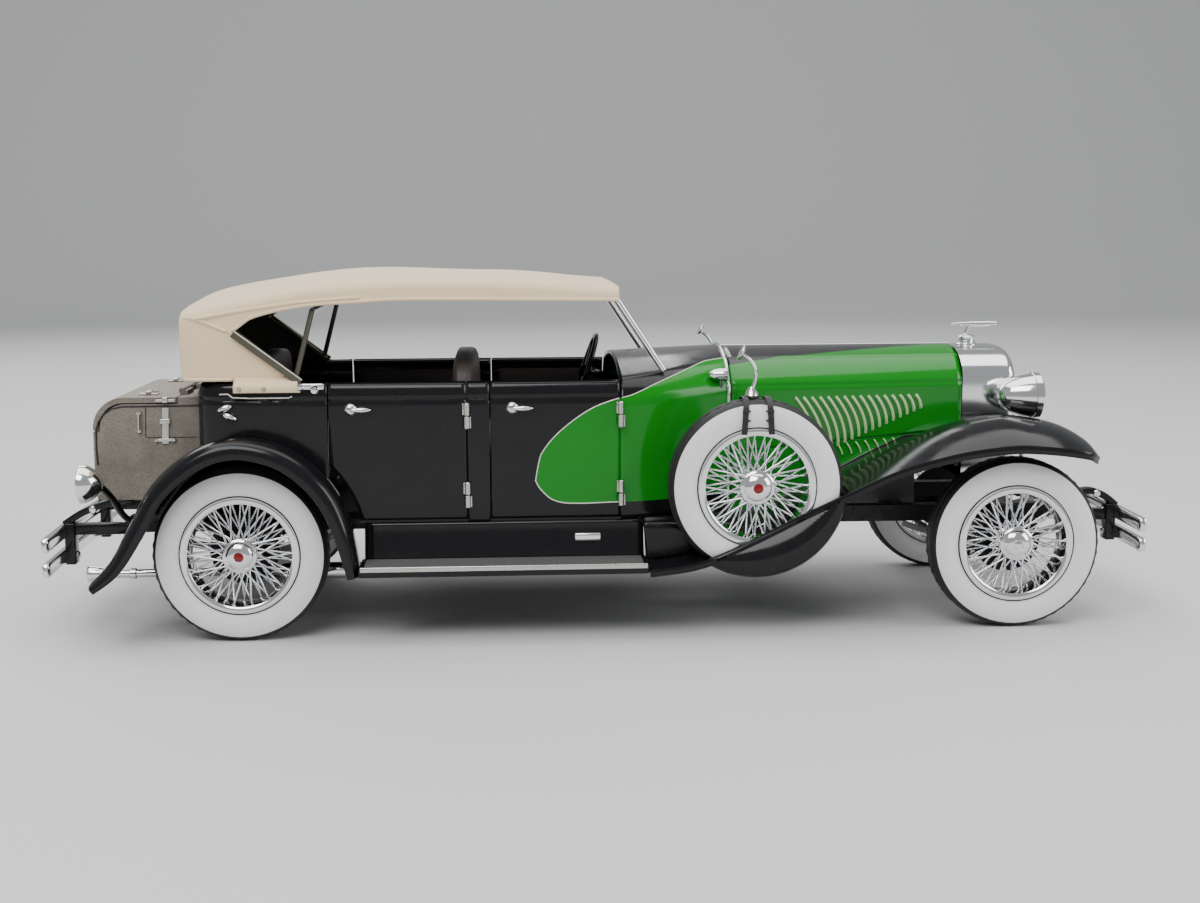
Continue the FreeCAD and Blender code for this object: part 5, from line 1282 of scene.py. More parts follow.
class TOURER_OT_radiator(bpy.types.Operator):
    """Plated radiator shell, honeycomb core, cap and plain bar ornament"""

    bl_idname = "tourer.radiator"
    bl_label = "Radiator"

    def execute(self, context):
        back, front = RADIATOR_LOW.x, RADIATOR_HIGH.x
        steps = ((0.0, 0.0), (0.5, 0.0), (0.82, 0.0), (0.91, 0.25), (0.965, 0.8), (1.0, 1.6), (0.995, 2.1),
                 (0.96, 2.5), (0.5, 2.6), (0.0, 2.6))
        bm = bmesh.new()

        def shell(u, v):
            depth, inset = glide(steps, v)[:]
            y, z = self.outline(u, inset)
            return Vector((back + (front - back) * depth, y, z))

        add_patch(bm, 128, 48, shell)
        piece("radiator_shell_visual", bm, "car", ["chrome"], ["radiator_shell"], crease=50)
        repaint(["radiator_core"], "honeycomb")
        cap = middle("hood_ornament")
        x = 105.6
        top = RADIATOR_HIGH.z
        bm = bmesh.new()
        add_lathe(bm, ((0.0, -0.4), (2.9, -0.4), (3.0, 0.1), (2.3, 0.5), (2.2, 0.9)), (x, 0, top), (0, 0, 1),
                  32)
        add_lathe(bm, ((2.2, 0.9), (2.3, 1.1), (2.3, 2.1), (1.9, 2.5), (1.0, 2.7), (0.8, 3.0), (0.0, 3.1)),
                  (x, 0, top),
                  (0, 0, 1), 12)
        level = high("hood_ornament").z - 0.9
        add_rod(bm, (x - 0.4, 0, top + 2.6), (x + 0.6, 0, level), 0.55, 0.4)
        start, end = low("hood_ornament").x, high("hood_ornament").x
        add_lathe(bm,
                  ((0.0, 0.0), (0.3, 0.15), (0.5, 2.0), (0.75, 6.0), (0.85, 10.5), (0.6, end - start - 0.6),
                       (0.0, end - start)), (start, 0, level), (1, 0, 0), 20)
        piece("ornament", bm, "car", ["chrome"], ["hood_ornament"])
        return {"FINISHED"}

    @staticmethod
    def outline(u, inset):
        """Arched outline of the shell seen from the front."""
        half = RADIATOR_HIGH.y - inset
        bottom = RADIATOR_LOW.z + inset
        shoulder = 63.0
        corners = [(0.0, bottom), (half * 0.5, bottom), (half - 1.0, bottom), (half, bottom + 1.0),
                   (half, 45.0), (half, 55.0), (half, shoulder)]
        for angle in (20, 40, 60, 75, 90):
            turn = math.radians(angle)
            corners.append((half * math.cos(turn) ** 0.75, shoulder + (RADIATOR_HIGH.z - inset - shoulder)
                            * math.sin(turn)))
        side = -1 if u < 0.5 else 1
        y, z = glide(corners, 1 - abs(2 * u - 1))[:]
        return side * max(y, 0.0), z


# ---------------------------------------------------------------- lamps and mirrors

class TOURER_OT_lamps(bpy.types.Operator):
    """Headlamps and their bar, cowl lamps and tail lamps"""

    bl_idname = "tourer.lamps"
    bl_label = "Lamps"

    def execute(self, context):
        tail, face = low("headlamps"), high("headlamps")
        radius = (face.z - tail.z) / 2
        reach = face.x - tail.x
        bm = bmesh.new()
        glass = bmesh.new()
        for _, side in SIDES:
            centre = (face.x, side * (face.y - radius), (face.z + tail.z) / 2)
            bowl = [(0.0, -reach), (1.6, -reach * 0.985), (3.1, -reach * 0.9), (4.4, -reach * 0.72),
                    (5.3, -reach * 0.5),
                    (5.75, -reach * 0.3), (5.9, -reach * 0.2), (radius, -reach * 0.19), (radius, -0.5),
                    (radius - 0.3, -0.1),
                    (radius - 0.7, 0.0), (radius - 1.0, -0.4), (radius - 1.0, -1.2), (0.0, -1.2)]
            add_lathe(bm, bowl, centre, (1, 0, 0), 64)
            add_lathe(glass, ((0.0, -0.15), (2.0, -0.25), (4.0, -0.45), (radius - 0.95, -0.7)), centre,
                      (1, 0, 0), 48)
        piece("headlamp_bowls", bm, "car", ["chrome"], ["headlamps"])
        piece("headlamp_glass", glass, "car", ["lamp_glass"], ["headlamp_lenses"], closed=False)
        self.bar()
        self.cowl_lamps()
        self.tail_lamps()
        return {"FINISHED"}

    @staticmethod
    def bar():
        start, end = low("headlamp_bar"), high("headlamp_bar")
        x = (start.x + end.x) / 2
        level = end.z - 0.9
        paths = [[(x, y, level) for y in (start.y, start.y * 0.5, 0, end.y * 0.5, end.y)]]
        for _, side in SIDES:
            paths.append([(x, side * 20.0, level), (x - 1.5, side * 20.5, level - 12.0),
                          (x + 0.5, side * 20.0, BODY_LOW)])
        tube("headlamp_bar_visual", paths, 0.85, "car", "chrome", ["headlamp_bar"], straight=False)

    @staticmethod
    def cowl_lamps():
        back, face = low("cowl_lamps"), high("cowl_lamps")
        bm = bmesh.new()
        for _, side in SIDES:
            centre = (face.x, side * (face.y - 1.9), 66.0)
            add_lathe(bm,
                      ((0.0, -5.0), (0.7, -4.8), (1.3, -3.9), (1.65, -2.6), (1.75, -1.2), (1.9, -1.1),
                       (1.9, -0.3),
                           (1.6, 0.0), (1.2, -0.2), (0.0, 0.1)), centre, (1, 0, 0), 32)
            add_rod(bm, (centre[0] - 1.8, centre[1], centre[2] - 1.2), (centre[0] - 1.8, side * 25.6, 62.2),
                    0.6, 0.9)
        piece("cowl_lamps_visual", bm, "car", ["chrome"], ["cowl_lamps"])

    @staticmethod
    def tail_lamps():
        start, end = low("tail_lamps"), high("tail_lamps")
        bm = bmesh.new()
        for _, side in SIDES:
            centre = Vector((start.x, side * (end.y - 4.9), end.z - 4.9))
            add_lathe(bm,
                      ((4.3, 0.3), (4.6, 0.0), (4.9, 0.3), (4.9, 1.4), (4.5, 2.6), (3.6, 4.0), (2.4, 5.2),
                       (1.2, 5.9),
                           (0.0, 6.0)), centre, (1, 0, 0), 48)
            add_lathe(bm, ((4.3, 0.3), (3.0, 0.0), (1.5, -0.0), (0.0, 0.0)), centre, (1, 0, 0), 48, index=1)
        piece("tail_lamp_bowls", bm, "car", ["chrome", "red_glass"], ["tail_lamps"])
        paths = []
        for _, side in SIDES:
            paths.append([(start.x + 5.0, side * (end.y - 4.9), end.z - 5.2),
                          (start.x + 7.0, side * 33.0, end.z - 9.0),
                          (start.x + 8.5, side * 27.0, 29.5), (start.x + 10.0, side * 21.5, 27.4)])
        tube("tail_lamp_arms", paths, 0.9, "car", "black_lacquer", straight=False)


class TOURER_OT_mirrors(bpy.types.Operator):
    """Strapped mirrors on the spare tyres"""

    bl_idname = "tourer.mirrors"
    bl_label = "Mirrors and straps"

    def execute(self, context):
        top = high("mirrors").z
        crown = SPARE.z + TYRE_RADIUS
        for name, side in SIDES:
            y = side * (high("spare_tyres").y - 4.75)
            bm = bmesh.new()
            add_lathe(bm, ((0.0, 0.0), (1.7, 0.0), (1.9, 0.6), (1.5, 1.5), (0.9, 2.2), (0.6, 2.8)),
                      (SPARE.x - 1.0, y, crown + 0.2),
                      (0, 0, 1), 24)
            tilt = (-0.9, 0, 0.45)
            head = Vector((SPARE.x - 3.6, y, top - 2.1))
            add_lathe(bm, ((0.0, -0.7), (1.2, -0.55), (1.9, -0.1), (2.05, 0.25), (1.9, 0.45), (0.0, 0.4)),
                      head, tilt, 32)
            piece("mirror_head_" + name, bm, "car", ["chrome"], ["mirrors"])
            tube("mirror_stalk_" + name,
                 [[(SPARE.x - 1.0, y, crown + 2.0), (SPARE.x + 0.6, y, crown + 6.0),
                   (SPARE.x - 1.2, y, crown + 10.0),
                   head + Vector((0.6, 0, -0.6))]], 0.5, "car", "chrome", straight=False)
            bm = bmesh.new()
            for shift in (-3.0, 3.0):
                self.add_strap(bm, shift, y)
            piece("spare_straps_" + name, bm, "car", ["strap_leather"])
        return {"FINISHED"}

    @staticmethod
    def add_strap(bm, shift, y):
        """Flat strap over the tyre, with its buckle on the outside."""
        side = 1 if y > 0 else -1
        rows = ((13.6, 5.0), (16.0, 5.05), (18.6, 5.15), (20.6, 4.95), (22.0, 3.9), (22.75, 2.4),
                (22.85, 0.0),
                (22.75, -2.4), (22.0, -3.9), (20.6, -4.9), (18.6, -5.15))

        def band(u, v):
            radius, out = glide(rows, v)[:]
            return Vector((SPARE.x + shift * (1 + 0.02 * (22.0 - radius)) + (u - 0.5) * 1.5, y + side * out,
                           SPARE.z + radius))

        faces = add_patch(bm, 2, 40, band)
        aim(bm, faces, (SPARE.x, y, SPARE.z))
        bmesh.ops.solidify(bm, geom=faces, thickness=0.25)
        for height in (17.2, 19.6):
            add_block(bm, (SPARE.x + shift - 1.05, y + side * 4.9, SPARE.z + height - 0.25),
                      (SPARE.x + shift + 1.05, y + side * 5.45, SPARE.z + height + 0.25), 0.1)


# ---------------------------------------------------------------- windshield and top

TOP_ROWS = ((0.0, 1.2, 81.0, 85.4), (0.045, 0.4, 82.5, 88.0), (0.15, 0.0, 85.2, 90.9), (0.3, 0.0, 88.2, 93.2),
            (0.5, 0.0, 89.8, 94.1), (0.7, 0.0, 89.6, 93.3), (0.86, 0.0, 88.8, 91.9), (1.0, 0.0, 87.6, 90.3))
VALANCE = ((0.0, 78.0), (0.115, 78.9), (0.165, 82.5), (0.28, 85.3), (0.39, 86.2), (0.5, 86.8), (0.66, 86.7),
           (1.0, 86.3))
QUARTER_FOOT = 0.265
QUARTER_PEAK = (0.115, 78.9)


def top_edge(share):
    """Side taper, height of the roof's side and height of its crown."""
    taper = ease([(row[0], row[1]) for row in TOP_ROWS], share)
    edge = ease([(row[0], row[2]) for row in TOP_ROWS], share)
    crown = ease([(row[0], row[3]) for row in TOP_ROWS], share)
    return taper, edge, crown


def top_spot(share, v):
    """Point of the canvas: v runs from one lower edge (0) over the roof to the other (1)."""
    taper, edge, crown = top_edge(share)
    side = -1 if v < 0.5 else 1
    t = 1 - abs(2 * v - 1)
    half = TOP_HALF - taper
    hem = ease(VALANCE, share)
    x = TOP_REAR + (TOP_FRONT - TOP_REAR) * share
    flare = 0.0
    if t < 0.3:
        z = TOP_LOW + (hem - TOP_LOW) * t / 0.3
        y = half
        flare = 0.9 * (1 - t / 0.3) ** 1.5
    elif t < 0.45:
        z = hem + (edge - hem) * (t - 0.3) / 0.15
        y = half
    elif t < 0.6:
        turn = (t - 0.45) / 0.15
        y = half - 3.2 * turn ** 1.6
        z = edge + 2.4 * (1 - (1 - turn) ** 1.7)
    else:
        turn = (t - 0.6) / 0.4
        y = (half - 3.2) * (1 - turn)
        z = edge + 2.4 + (crown - edge - 2.4) * (1 - (1 - turn) ** 2)
    return Vector((x, side * (y - flare * 0.6), z))


def add_tab(bm, side):
    """Lower tab of the canvas quarter, which snaps down over the body's belt."""

    def cloth(u, v):
        x = -93.9 + (15.7 + 1.2 * v) * u
        out = glide(((TOP_HALF - 0.2, 0), (TOP_HALF + 0.9, 0), (39.75, 0), (39.95, 0), (39.8, 0)), v)[0]
        return Vector((x, side * out, 67.4 - 3.8 * v))

    aim(bm, add_patch(bm, 30, 16, cloth), (-86.0, 0, 66.0))


class TOURER_OT_top(bpy.types.Operator):
    """Folding top as one canvas sheet with its hems and piping, the irons and the windshield"""

    bl_idname = "tourer.top"
    bl_label = "Folding top"

    def execute(self, context):
        self.canvas()
        self.trim()
        repaint(["top_irons"], "iron_paint")
        repaint(["windshield_frame"], "chrome")
        repaint(["windshield_glass"], "clear_glass")
        return {"FINISHED"}

    @staticmethod
    def canvas():
        bm = bmesh.new()
        back = 0.16

        def cloth(u, v):
            if u >= back:
                share = ((u - back) / (1 - back)) ** 1.15
                spot = top_spot(share, v)
                if abs(2 * v - 1) < 0.4:
                    spot.z += 0.25 * math.cos(share * math.tau * 2.5)
                return spot
            centre = Vector((TOP_REAR, 0, TOP_LOW))
            return centre + (top_spot(0.0, v) - centre) * u / back

        add_patch(bm, 130, 120, cloth)
        bmesh.ops.remove_doubles(bm, verts=bm.verts[:], dist=0.01)
        for vert in bm.verts:
            if vert.co.x < TOP_REAR + 3.0:
                near = (TOP_REAR + 3.0 - vert.co.x) / 3.0
                pull = 1.0 * near ** 2
                if abs(vert.co.y) > TOP_HALF - 5.0:
                    vert.co.y -= math.copysign(pull, vert.co.y)
        foot_x = TOP_REAR + QUARTER_FOOT * (TOP_FRONT - TOP_REAR)
        peak_x = TOP_REAR + QUARTER_PEAK[0] * (TOP_FRONT - TOP_REAR)
        slope = Vector((peak_x - foot_x, 0, QUARTER_PEAK[1] - TOP_LOW))
        normal = Vector((slope.z, 0, -slope.x))
        flanks = [face for face in bm.faces if abs(face.calc_center_median().y) > TOP_HALF - 2.4]
        geom = list({item for face in flanks for item in (*face.verts, *face.edges)}) + flanks
        bmesh.ops.bisect_plane(bm, geom=geom, dist=WELD, plane_co=(foot_x, 0, TOP_LOW), plane_no=normal)
        doomed = []
        for face in bm.faces:
            spot = face.calc_center_median()
            share = (spot.x - TOP_REAR) / (TOP_FRONT - TOP_REAR)
            ahead = (spot - Vector((foot_x, 0, TOP_LOW))).dot(normal) > 0
            if abs(spot.y) > TOP_HALF - 2.4 and ahead and spot.z < ease(VALANCE, share) - 0.01:
                doomed.append(face)
        bmesh.ops.delete(bm, geom=doomed, context="FACES")
        aim(bm, bm.faces[:], (-50.0, 0, 70.0))
        for _, side in SIDES:
            add_tab(bm, side)
        area = sum(face.calc_area() for face in bm.faces) * MM * MM
        item = piece("canvas_top", bm, "car", ["top_canvas", "top_lining"], ["soft_top"],
                     closed=False, crease=60, wall=0.7, lining=1)

    def trim(self):
        radius = sizes().piping_radius / MM
        span = TOP_FRONT - TOP_REAR
        for name, side in SIDES:
            y = side * (TOP_HALF - 0.1)
            hem = []
            for step in range(61):
                share = QUARTER_PEAK[0] + (1 - QUARTER_PEAK[0]) * step / 60
                hem.append(Vector((TOP_REAR + span * share, side * (TOP_HALF - top_edge(share)[0] - 0.1),
                                   ease(VALANCE, share) + 0.2)))
            foot = Vector((TOP_REAR + span * QUARTER_FOOT - 0.5, y, TOP_LOW + 0.4))
            quarter = [Vector((TOP_REAR + 1.0, side * (TOP_HALF - 1.6), TOP_LOW + 0.4)), foot, hem[0]]
            ridge = [Vector((TOP_REAR + 4.4, y, 82.4)), Vector((TOP_REAR + 9.0, y, 83.2)),
                     Vector((TOP_REAR + 16.0, y, 84.4)), Vector((TOP_REAR + 30.0, y, 86.4)),
                     Vector((TOP_REAR + 46.0, y, 87.6))]
            diagonal = [Vector((TOP_REAR + 1.2, side * (TOP_HALF - 2.0), 82.4)),
                        Vector((TOP_REAR + 3.4, side * (TOP_HALF - 0.7), 82.6)), Vector((-100.6, y, 81.4)),
                        Vector((-95.6, y, 79.2))]
            roll = [Vector((TOP_REAR + 1.2, side * (TOP_HALF - 1.7), 66.9)), Vector((-103.6, y, 66.9)),
                    Vector((-94.6, y, 66.9))]
            tube("canvas_piping_" + name, [hem, quarter, ridge, diagonal, roll], radius * 1.3, "car",
                 "top_canvas")
            self.quarter_iron(name, side)
            self.snaps(name, side)
            self.pivot(name, side)
        self.rear_window()

    @staticmethod
    def quarter_iron(name, side):
        """Flat iron along the quarter's sloping edge, with its bright edge painted: a pale line along the
        upper edge as painted highlight.
        """
        y = side * (TOP_HALF + 0.5)
        top, foot = Vector((-94.4, y, 78.0)), Vector((-77.6, y, 65.4))
        shift = Vector((0.35, 0, 0.5))
        bm = bmesh.new()
        add_path(bm, [top + shift, (top + foot) / 2 + shift, foot + shift], 0.75, 0.5)
        piece("quarter_iron_" + name, bm, "car", ["iron_paint"])
        # Pale line along the iron's upper edge: a painted highlight.
        tube("quarter_iron_highlight_" + name, [[top + shift * 2.4, foot + shift * 2.4]], 0.2, "car", "pinstripe_and_highlight")

    @staticmethod
    def snaps(name, side):
        """Two snaps that hold the quarter's tab down."""
        bm = bmesh.new()
        for x in (-92.4, -86.2):
            add_lathe(bm, ((0.0, 0.55), (0.35, 0.5), (0.6, 0.2), (0.65, 0.0)), (x, side * 39.9, 64.7),
                      (0, side, 0), 16)
        piece("quarter_snaps_" + name, bm, "car", ["nickel"])

    @staticmethod
    def pivot(name, side):
        """Plated pivot at the foot of the irons, and the bright loop along the belt."""
        y = side * 38.9
        bm = bmesh.new()
        add_block(bm, (-77.9, y, 64.2), (-71.0, y + side * 1.0, 65.9), 0.4)
        add_lathe(bm, ((0.0, 2.0), (0.8, 1.9), (1.2, 1.4), (1.4, 0.4), (1.4, 0.0), (0.0, 0.0)),
                  (-73.4, y, 64.2),
                  (0, side, 0), 24)
        add_lathe(bm, ((0.0, 1.7), (0.6, 1.6), (0.9, 1.2), (0.9, 0.0), (0.0, 0.0)), (-77.0, y, 65.0),
                  (0, side, 0), 24)
        piece("top_pivot_" + name, bm, "car", ["chrome"])
        loop = [(-97.6, y * 0.985, 63.2), (-95.4, y * 0.995, 63.3), (-94.2, y, 62.4), (-90.0, y, 62.2),
                (-80.2, y, 62.2),
                (-79.2, y, 62.6)]
        tube("belt_loop_" + name, [loop], 0.16, "car", "pinstripe_and_highlight")
        bm = bmesh.new()
        for x, z, turn in ((-96.4, 59.6, 0.35), (-95.2, 57.4, -0.5)):
            add_lathe(bm, ((0.0, -2.0), (0.5, -1.6), (0.85, -0.6), (0.9, 0.5), (0.55, 1.6), (0.0, 2.1)),
                      (x, side * 38.3, z), (1, 0, turn), 20)
        piece("quarter_catch_" + name, bm, "car", ["chrome"])

    @staticmethod
    def rear_window():
        """Celluloid window in the back panel, in a stitched frame."""
        x = TOP_REAR - 0.02
        loop = []
        for step in range(48):
            turn = math.tau * step / 48
            loop.append(Vector((x, 11.0 * squared(math.cos(turn), 0.4),
                                76.0 + 3.6 * squared(math.sin(turn), 0.4))))
        tube("rear_window_frame", [loop], 0.35, "car", "top_canvas", closed=True)
        bm = bmesh.new()
        bmesh.ops.create_circle(bm, cap_ends=True, segments=48, radius=1.0)
        bm.verts.ensure_lookup_table()
        for vert, spot in zip(bm.verts, loop):
            vert.co = spot + Vector((-0.02, 0, 0))
        aim(bm, bm.faces[:], (0, 0, 76.0))
        piece("rear_window", bm, "car", ["window_film"], closed=False)


# ---------------------------------------------------------------- cabin

def add_cushion(bm, corner, far, crown, channels, axis):
    """Crowned pad: sides pull in between its corners and sewn channels run over its face."""
    before = set(bm.faces)
    corner, far = Vector(corner), Vector(far)
    centre, half = (corner + far) / 2, (far - corner) / 2
    made = bmesh.ops.create_cube(bm, size=2.0)
    edges = list({edge for vert in made["verts"] for edge in vert.link_edges})
    bmesh.ops.subdivide_edges(bm, edges=edges, cuts=23, use_grid_fill=True)
    for vert in bm.verts:
        if any(face in before for face in vert.link_faces):
            continue
        p = vert.co.copy()
        if max(abs(p.x), abs(p.y), abs(p.z)) > 1.0001:
            continue
        power = 5.0
        norm = (abs(p.x) ** power + abs(p.y) ** power + abs(p.z) ** power) ** (1 / power)
        round_p = p / norm if norm else p
        q = p.lerp(round_p, 0.9)
        face_out = max(q[axis], 0.0)
        puff = crown * (1 - min(abs(q.y), 1.0) ** 4) * face_out
        seam = abs(math.sin(math.pi * (q.y + 1) / 2 * channels)) ** 0.5
        puff -= 0.7 * (1 - seam) * face_out
        vert.co = Vector((centre.x + half.x * q.x, centre.y + half.y * q.y, centre.z + half.z * q.z))
        vert.co[axis] += puff
    return added(bm, before, 0)


class TOURER_OT_cabin(bpy.types.Operator):
    """Seats, steering wheel, dashboard and column"""

    bl_idname = "tourer.cabin"
    bl_label = "Cabin"

    def execute(self, context):
        for node in ("front_seat", "rear_seat"):
            start, end = low(node), high(node)
            for part, corner, far, axis in (
                    ("cushion", (start.x + 3.5, start.y, start.z + 5.0), (end.x, end.y, 49.0), 2),
                    ("back", (start.x, start.y, 40.0), (start.x + 6.0, end.y, end.z), 0)):
                bm = bmesh.new()
                add_cushion(bm, corner, far, 1.2, 14, axis)
                item = piece("%s_%s" % (node, part), bm, "car", ["seat_leather"],
                             [node] if part == "cushion" else (), subdivide=1)
            bm = bmesh.new()
            add_block(bm, (start.x + 1.0, start.y + 1, start.z), (end.x - 1.0, end.y - 1, start.z + 6.0), 0.6)
            piece("%s_base" % node, bm, "car", ["black_lacquer"])
        repaint(["steering_wheel", "steering_column"], "black_lacquer")
        repaint(["dashboard"], "turned_metal")
        return {"FINISHED"}


# ---------------------------------------------------------------- trunk, bumpers and running gear

def add_path(bm, path, half, depth, index=0):
    """Flat strip along a path of points in an XZ plane, half wide each way and depth thick outwards."""
    before = set(bm.faces)
    side = 1 if path[0][1] > 0 else -1
    rows = []
    for number, spot in enumerate(path):
        ahead = Vector(path[min(number + 1, len(path) - 1)])
        behind = Vector(path[max(number - 1, 0)])
        run = (ahead - behind).normalized()
        across = Vector((-run.z, 0.0, run.x)) * half
        rows.append([bm.verts.new(Vector(spot) - across), bm.verts.new(Vector(spot) + across)])
    faces = [bm.faces.new((a[0], a[1], b[1], b[0])) for a, b in zip(rows, rows[1:])]
    aim(bm, faces, Vector(path[0]) - Vector((0, side * 50.0, 0)))
    bmesh.ops.solidify(bm, geom=faces, thickness=depth)
    bmesh.ops.translate(bm, vec=(0, side * depth, 0),
                        verts=list({vert for face in bm.faces if face not in before for vert in face.verts}))
    return added(bm, before, index)


TRUNK_SEAM = ((-105.0, 59.3), (-115.0, 59.25), (-125.0, 59.2), (-127.6, 58.6), (-129.6, 57.1), (-130.9, 55.2),
              (-131.6, 52.9), (-131.7, 48.0), (-131.5, 44.0))
TRUNK_FLAP = ((-118.6, 58.9), (-118.9, 51.4), (-118.3, 51.0), (-106.0, 51.0))
LATCH_SIDES = (-19.0, 19.0)


class TOURER_OT_trunk(bpy.types.Operator):
    """Covered trunk with seams, flaps, hasps, handles and lid latches"""

    bl_idname = "tourer.trunk"
    bl_label = "Trunk"

    def execute(self, context):
        repaint(["trunk_box", "trunk_lid"], "trunk_leather")
        out = high("trunk_box").y
        seams, flaps = [], []
        box = bmesh.new()
        lid = bmesh.new()
        for _, side in SIDES:
            y = side * out
            seams.append([(x, y, z) for x, z in TRUNK_SEAM])
            flaps.append([(x, y, z) for x, z in TRUNK_FLAP])
            self.hasp(box, lid, y, side)
            self.handle(box, y, side)
        tube("trunk_seams", seams, 0.26, "car", "strap_leather", sides=1)
        tube("trunk_flap_edges", flaps, 0.14, "car", "strap_leather", sides=1)
        for y in LATCH_SIDES:
            self.latch(lid, y)
        piece("trunk_hardware", box, "car", ["nickel"])
        piece("lid_hardware", lid, "lid", ["nickel"])
        return {"FINISHED"}

    @staticmethod
    def hasp(box, lid, y, side):
        """Bright strap down from the lid to a cross plate, with a keeper at its middle."""
        add_block(lid, (-116.0, y, 60.3), (-110.9, y + side * 0.5, 61.0), 0.12)
        add_block(lid, (-114.2, y, 60.1), (-112.7, y + side * 0.9, 61.6), 0.2)
        add_path(box, [(-113.5, y, 58.8), (-113.6, y, 55.0), (-113.8, y, 49.4)], 0.8, 0.45)
        add_block(box, (-115.0, y, 54.6), (-112.3, y + side * 0.9, 55.9), 0.2)
        add_block(box, (-116.3, y, 49.9), (-111.2, y + side * 0.5, 50.7), 0.12)
        for x in (-116.1, -111.5):
            add_lathe(box, ((0.0, 0.8), (0.4, 0.7), (0.55, 0.4), (0.55, 0.0), (0.0, 0.0)), (x, y, 50.3),
                      (0, side, 0), 12)

    @staticmethod
    def handle(box, y, side):
        """Slim pull bar between two pads."""
        for z in (52.9, 57.4):
            add_lathe(box, ((0.0, 0.9), (0.55, 0.75), (0.75, 0.3), (0.75, 0.0), (0.0, 0.0)), (-120.4, y, z),
                      (0, side, 0), 16)
        add_rod(box, (-120.45, y + side * 0.9, 53.0), (-120.35, y + side * 0.9, 57.3), 0.32, 0.32)

    @staticmethod
    def latch(lid, y):
        """Buckle on the lid's rear slope."""
        top = high("trunk_lid").z - 1.75
        add_block(lid, (-121.6, y - 1.5, top), (-116.6, y + 1.5, top + 0.5), 0.15)
        add_block(lid, (-119.8, y - 1.9, top + 0.3), (-118.4, y + 1.9, top + 1.1), 0.25)
        add_rod(lid, (-117.4, y - 1.3, top + 0.8), (-117.4, y + 1.3, top + 0.8), 0.45)


# ---------------------------------------------------------------- bumpers, exhaust and running gear

BAR_BOW = 900.0
BAR_HALF = 43.9


def add_bar(bm, tip, level):
    """Bumper bar across the car: a rolled face, a slight bow and rounded ends."""
    out = 1 if tip > 0 else -1

    def skin(u, v):
        turn = math.tau * v
        along = 2 * u - 1
        over = max(abs(along) - 0.95, 0.0) / 0.05
        close = math.sqrt(max(1 - over ** 2, 0.0))
        deep = squared(math.cos(turn), 0.7) * 1.1 * close
        tall = squared(math.sin(turn), 0.6) * 1.9 * close
        groove = 0.35 * math.exp(-(tall / 0.35) ** 2) if deep > 0 else 0.0
        y = along * BAR_HALF
        return Vector((tip - out * (1.1 - deep + groove * close + y * y / (2 * BAR_BOW)), y, level + tall))

    add_patch(bm, 72, 28, skin)


class TOURER_OT_bumpers(bpy.types.Operator):
    """Twin-bar bumpers with their spring arms and bolts"""

    bl_idname = "tourer.bumpers"
    bl_label = "Bumpers"

    def execute(self, context):
        self.bumper("front_bumper", high("front_bumper").x, (21.2, 26.6),
                    ((127.0, 28.0), (133.5, 32.2), (138.5, 31.4), (142.6, 28.4)))
        self.bumper("rear_bumper", low("rear_bumper").x, (18.9, 25.4),
                    ((-124.5, 34.0), (-130.0, 33.0), (-137.0, 30.6), (-142.4, 27.3)))
        return {"FINISHED"}

    @staticmethod
    def bumper(name, tip, levels, arm):
        out = 1 if tip > 0 else -1
        bm = bmesh.new()
        for level in levels:
            add_bar(bm, tip, level)
        for _, side in SIDES:
            y = side * 20.0
            add_block(bm, (tip - out * 4.6, y - 2.2, levels[0] - 2.4),
                      (tip - out * 1.9, y + 2.2, levels[1] + 2.2),
                      0.3, index=1)
            start = 127.0 if out > 0 else -124.5
            add_block(bm, (start, y - 1.6, 24.4), (tip - out * 3.4, y + 1.6, 27.4), 0.4, index=1)
            for level in levels:
                add_lathe(bm, ((0.0, 0.9), (0.6, 0.8), (1.0, 0.3), (1.0, -1.6), (0.0, -1.6)),
                          (tip - out * 4.6, y, level), (-out, 0, 0), 16)
            shape = [Vector((x, 0, z)) for x, z in arm]

            def leaf(u, v):
                spot = glide(shape, u)
                run = (glide(shape, u + 0.02) - glide(shape, u - 0.02)).normalized()
                up = Vector((-run.z, 0, run.x))
                turn = math.tau * v
                wide = squared(math.cos(turn), 0.4) * 1.7
                thick = squared(math.sin(turn), 0.4) * 0.95
                return spot + up * thick + Vector((0, y + wide, 0))

            for face in add_patch(bm, 24, 24, leaf):
                face.material_index = 1
            middle_spot = glide(shape, 0.55)
            add_lathe(bm, ((0.0, 2.5), (0.8, 2.4), (1.1, 2.0), (1.1, -2.0), (0.8, -2.4), (0.0, -2.5)),
                      middle_spot + Vector((0, y, -0.4)), (0, 1, 0), 16)
        piece(name + "_bars", bm, "car", ["chrome", "black_lacquer"], [name])


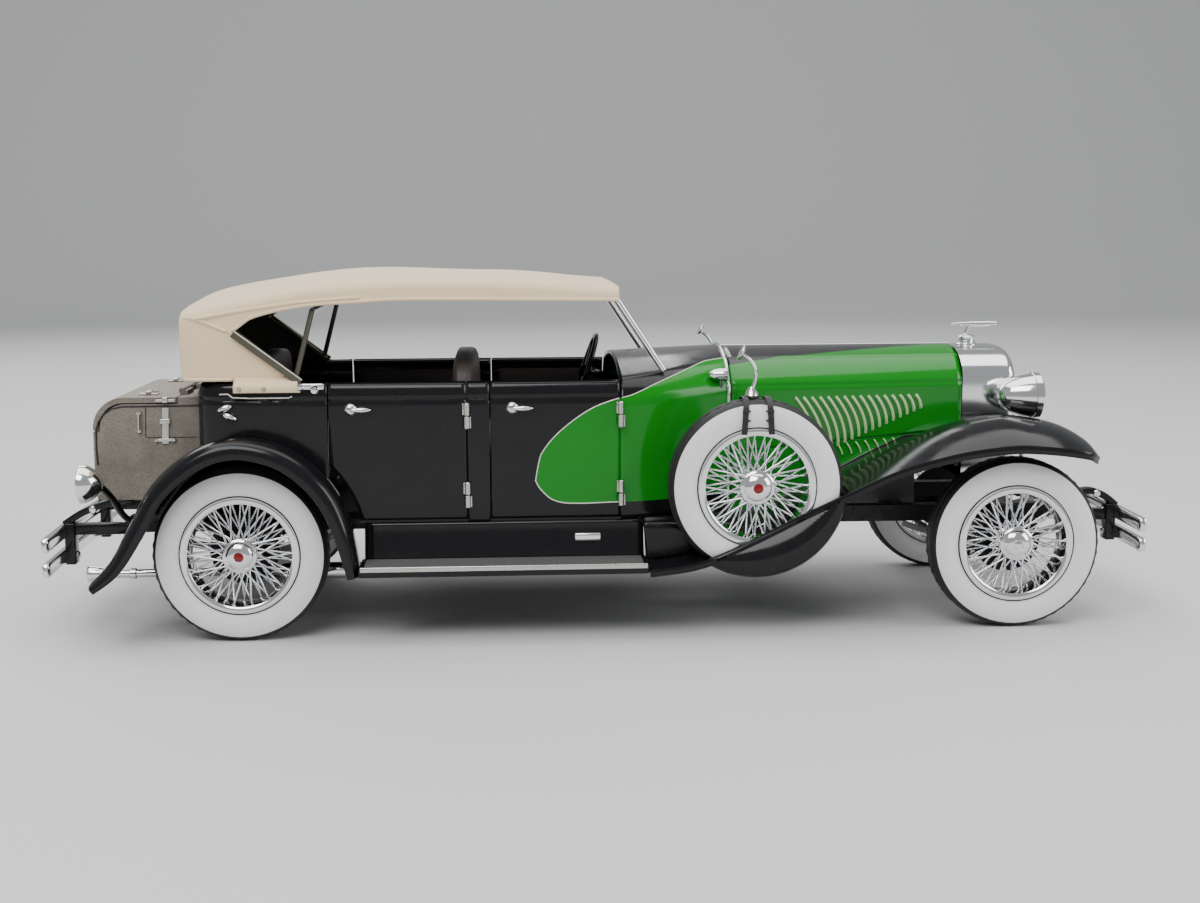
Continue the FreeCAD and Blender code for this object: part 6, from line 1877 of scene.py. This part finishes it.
class TOURER_OT_exhaust(bpy.types.Operator):
    """Exhaust pipe with a flared tip, collars and a silencer"""

    bl_idname = "tourer.exhaust"
    bl_label = "Exhaust"

    def execute(self, context):
        start, end = low("exhaust_pipe"), high("exhaust_pipe")
        centre = (start.x, -25.0, 14.5)
        length_out = end.x - start.x
        profile = [(0.0, 3.6), (1.3, 3.4), (1.55, 0.9), (1.8, 0.25), (2.05, 0.0), (2.2, 0.3), (2.15, 1.4),
                   (1.9, 3.2),
                   (1.45, 5.0), (1.15, 6.4), (1.1, 11.0), (1.5, 11.2), (1.5, 12.6), (1.1, 12.8), (1.1, 22.0),
                   (1.5, 22.2), (1.5, 23.4), (1.1, 23.6), (1.1, 50.0), (2.0, 51.2), (2.2, 52.4), (2.2, 71.0),
                   (2.0, 72.2),
                   (1.1, 73.4), (1.1, length_out - 0.3), (0.8, length_out), (0.0, length_out)]
        bm = bmesh.new()
        add_lathe(bm, profile, centre, (1, 0, 0), 40)
        for x in (start.x + 20.0, end.x - 2.0):
            add_block(bm, (x, -25.4, 15.2), (x + 2.0, -22.0, 27.0), 0.2, index=1)
        piece("exhaust_visual", bm, "car", ["chrome", "frame_steel"], ["exhaust_pipe"])
        return {"FINISHED"}


class TOURER_OT_running_gear(bpy.types.Operator):
    """Materials of the frame, axles, steering, springs, engine and fan"""

    bl_idname = "tourer.running_gear"
    bl_label = "Running gear"

    def execute(self, context):
        repaint(["chassis_frame"], "frame_steel")
        repaint(["front_axle", "rear_axle", "knuckle_right", "knuckle_left", "tie_rod"], "frame_steel")
        repaint(["leaf_springs"], "spring_steel")
        repaint(["engine"], "cast_iron")
        repaint(["cooling_fan"], "nickel")
        return {"FINISHED"}


OPERATORS = (TOURER_OT_finishes, TOURER_OT_stage, TOURER_OT_wheels, TOURER_OT_fenders, TOURER_OT_boards,
             TOURER_OT_doors, TOURER_OT_body, TOURER_OT_hood, TOURER_OT_radiator, TOURER_OT_lamps,
             TOURER_OT_mirrors, TOURER_OT_top, TOURER_OT_cabin, TOURER_OT_trunk, TOURER_OT_bumpers,
             TOURER_OT_exhaust, TOURER_OT_running_gear)


class TOURER_PT_panel(bpy.types.Panel):
    """Settings and steps of the model"""

    bl_idname = "TOURER_PT_panel"
    bl_label = "Touring car"
    bl_space_type = "VIEW_3D"
    bl_region_type = "UI"
    bl_category = "Touring car"

    def draw(self, context):
        column = self.layout.column()
        for group in (context.scene.tourer_colours, context.scene.tourer_sizes):
            for key in group.__annotations__:
                column.prop(group, key)
        for operator in OPERATORS:
            column.operator(operator.bl_idname)


CLASSES = (TOURER_PG_colours, TOURER_PG_sizes, *OPERATORS, TOURER_PT_panel)


def register():
    for item in CLASSES:
        bpy.utils.register_class(item)
    bpy.types.Scene.tourer_colours = bpy.props.PointerProperty(type=TOURER_PG_colours)
    bpy.types.Scene.tourer_sizes = bpy.props.PointerProperty(type=TOURER_PG_sizes)


def unregister():
    del bpy.types.Scene.tourer_colours
    del bpy.types.Scene.tourer_sizes
    for item in reversed(CLASSES):
        bpy.utils.unregister_class(item)


def main():
    register()
    for operator in OPERATORS:
        getattr(bpy.ops.tourer, operator.bl_idname.split(".")[1])()


if __name__ == "__main__":
    main()
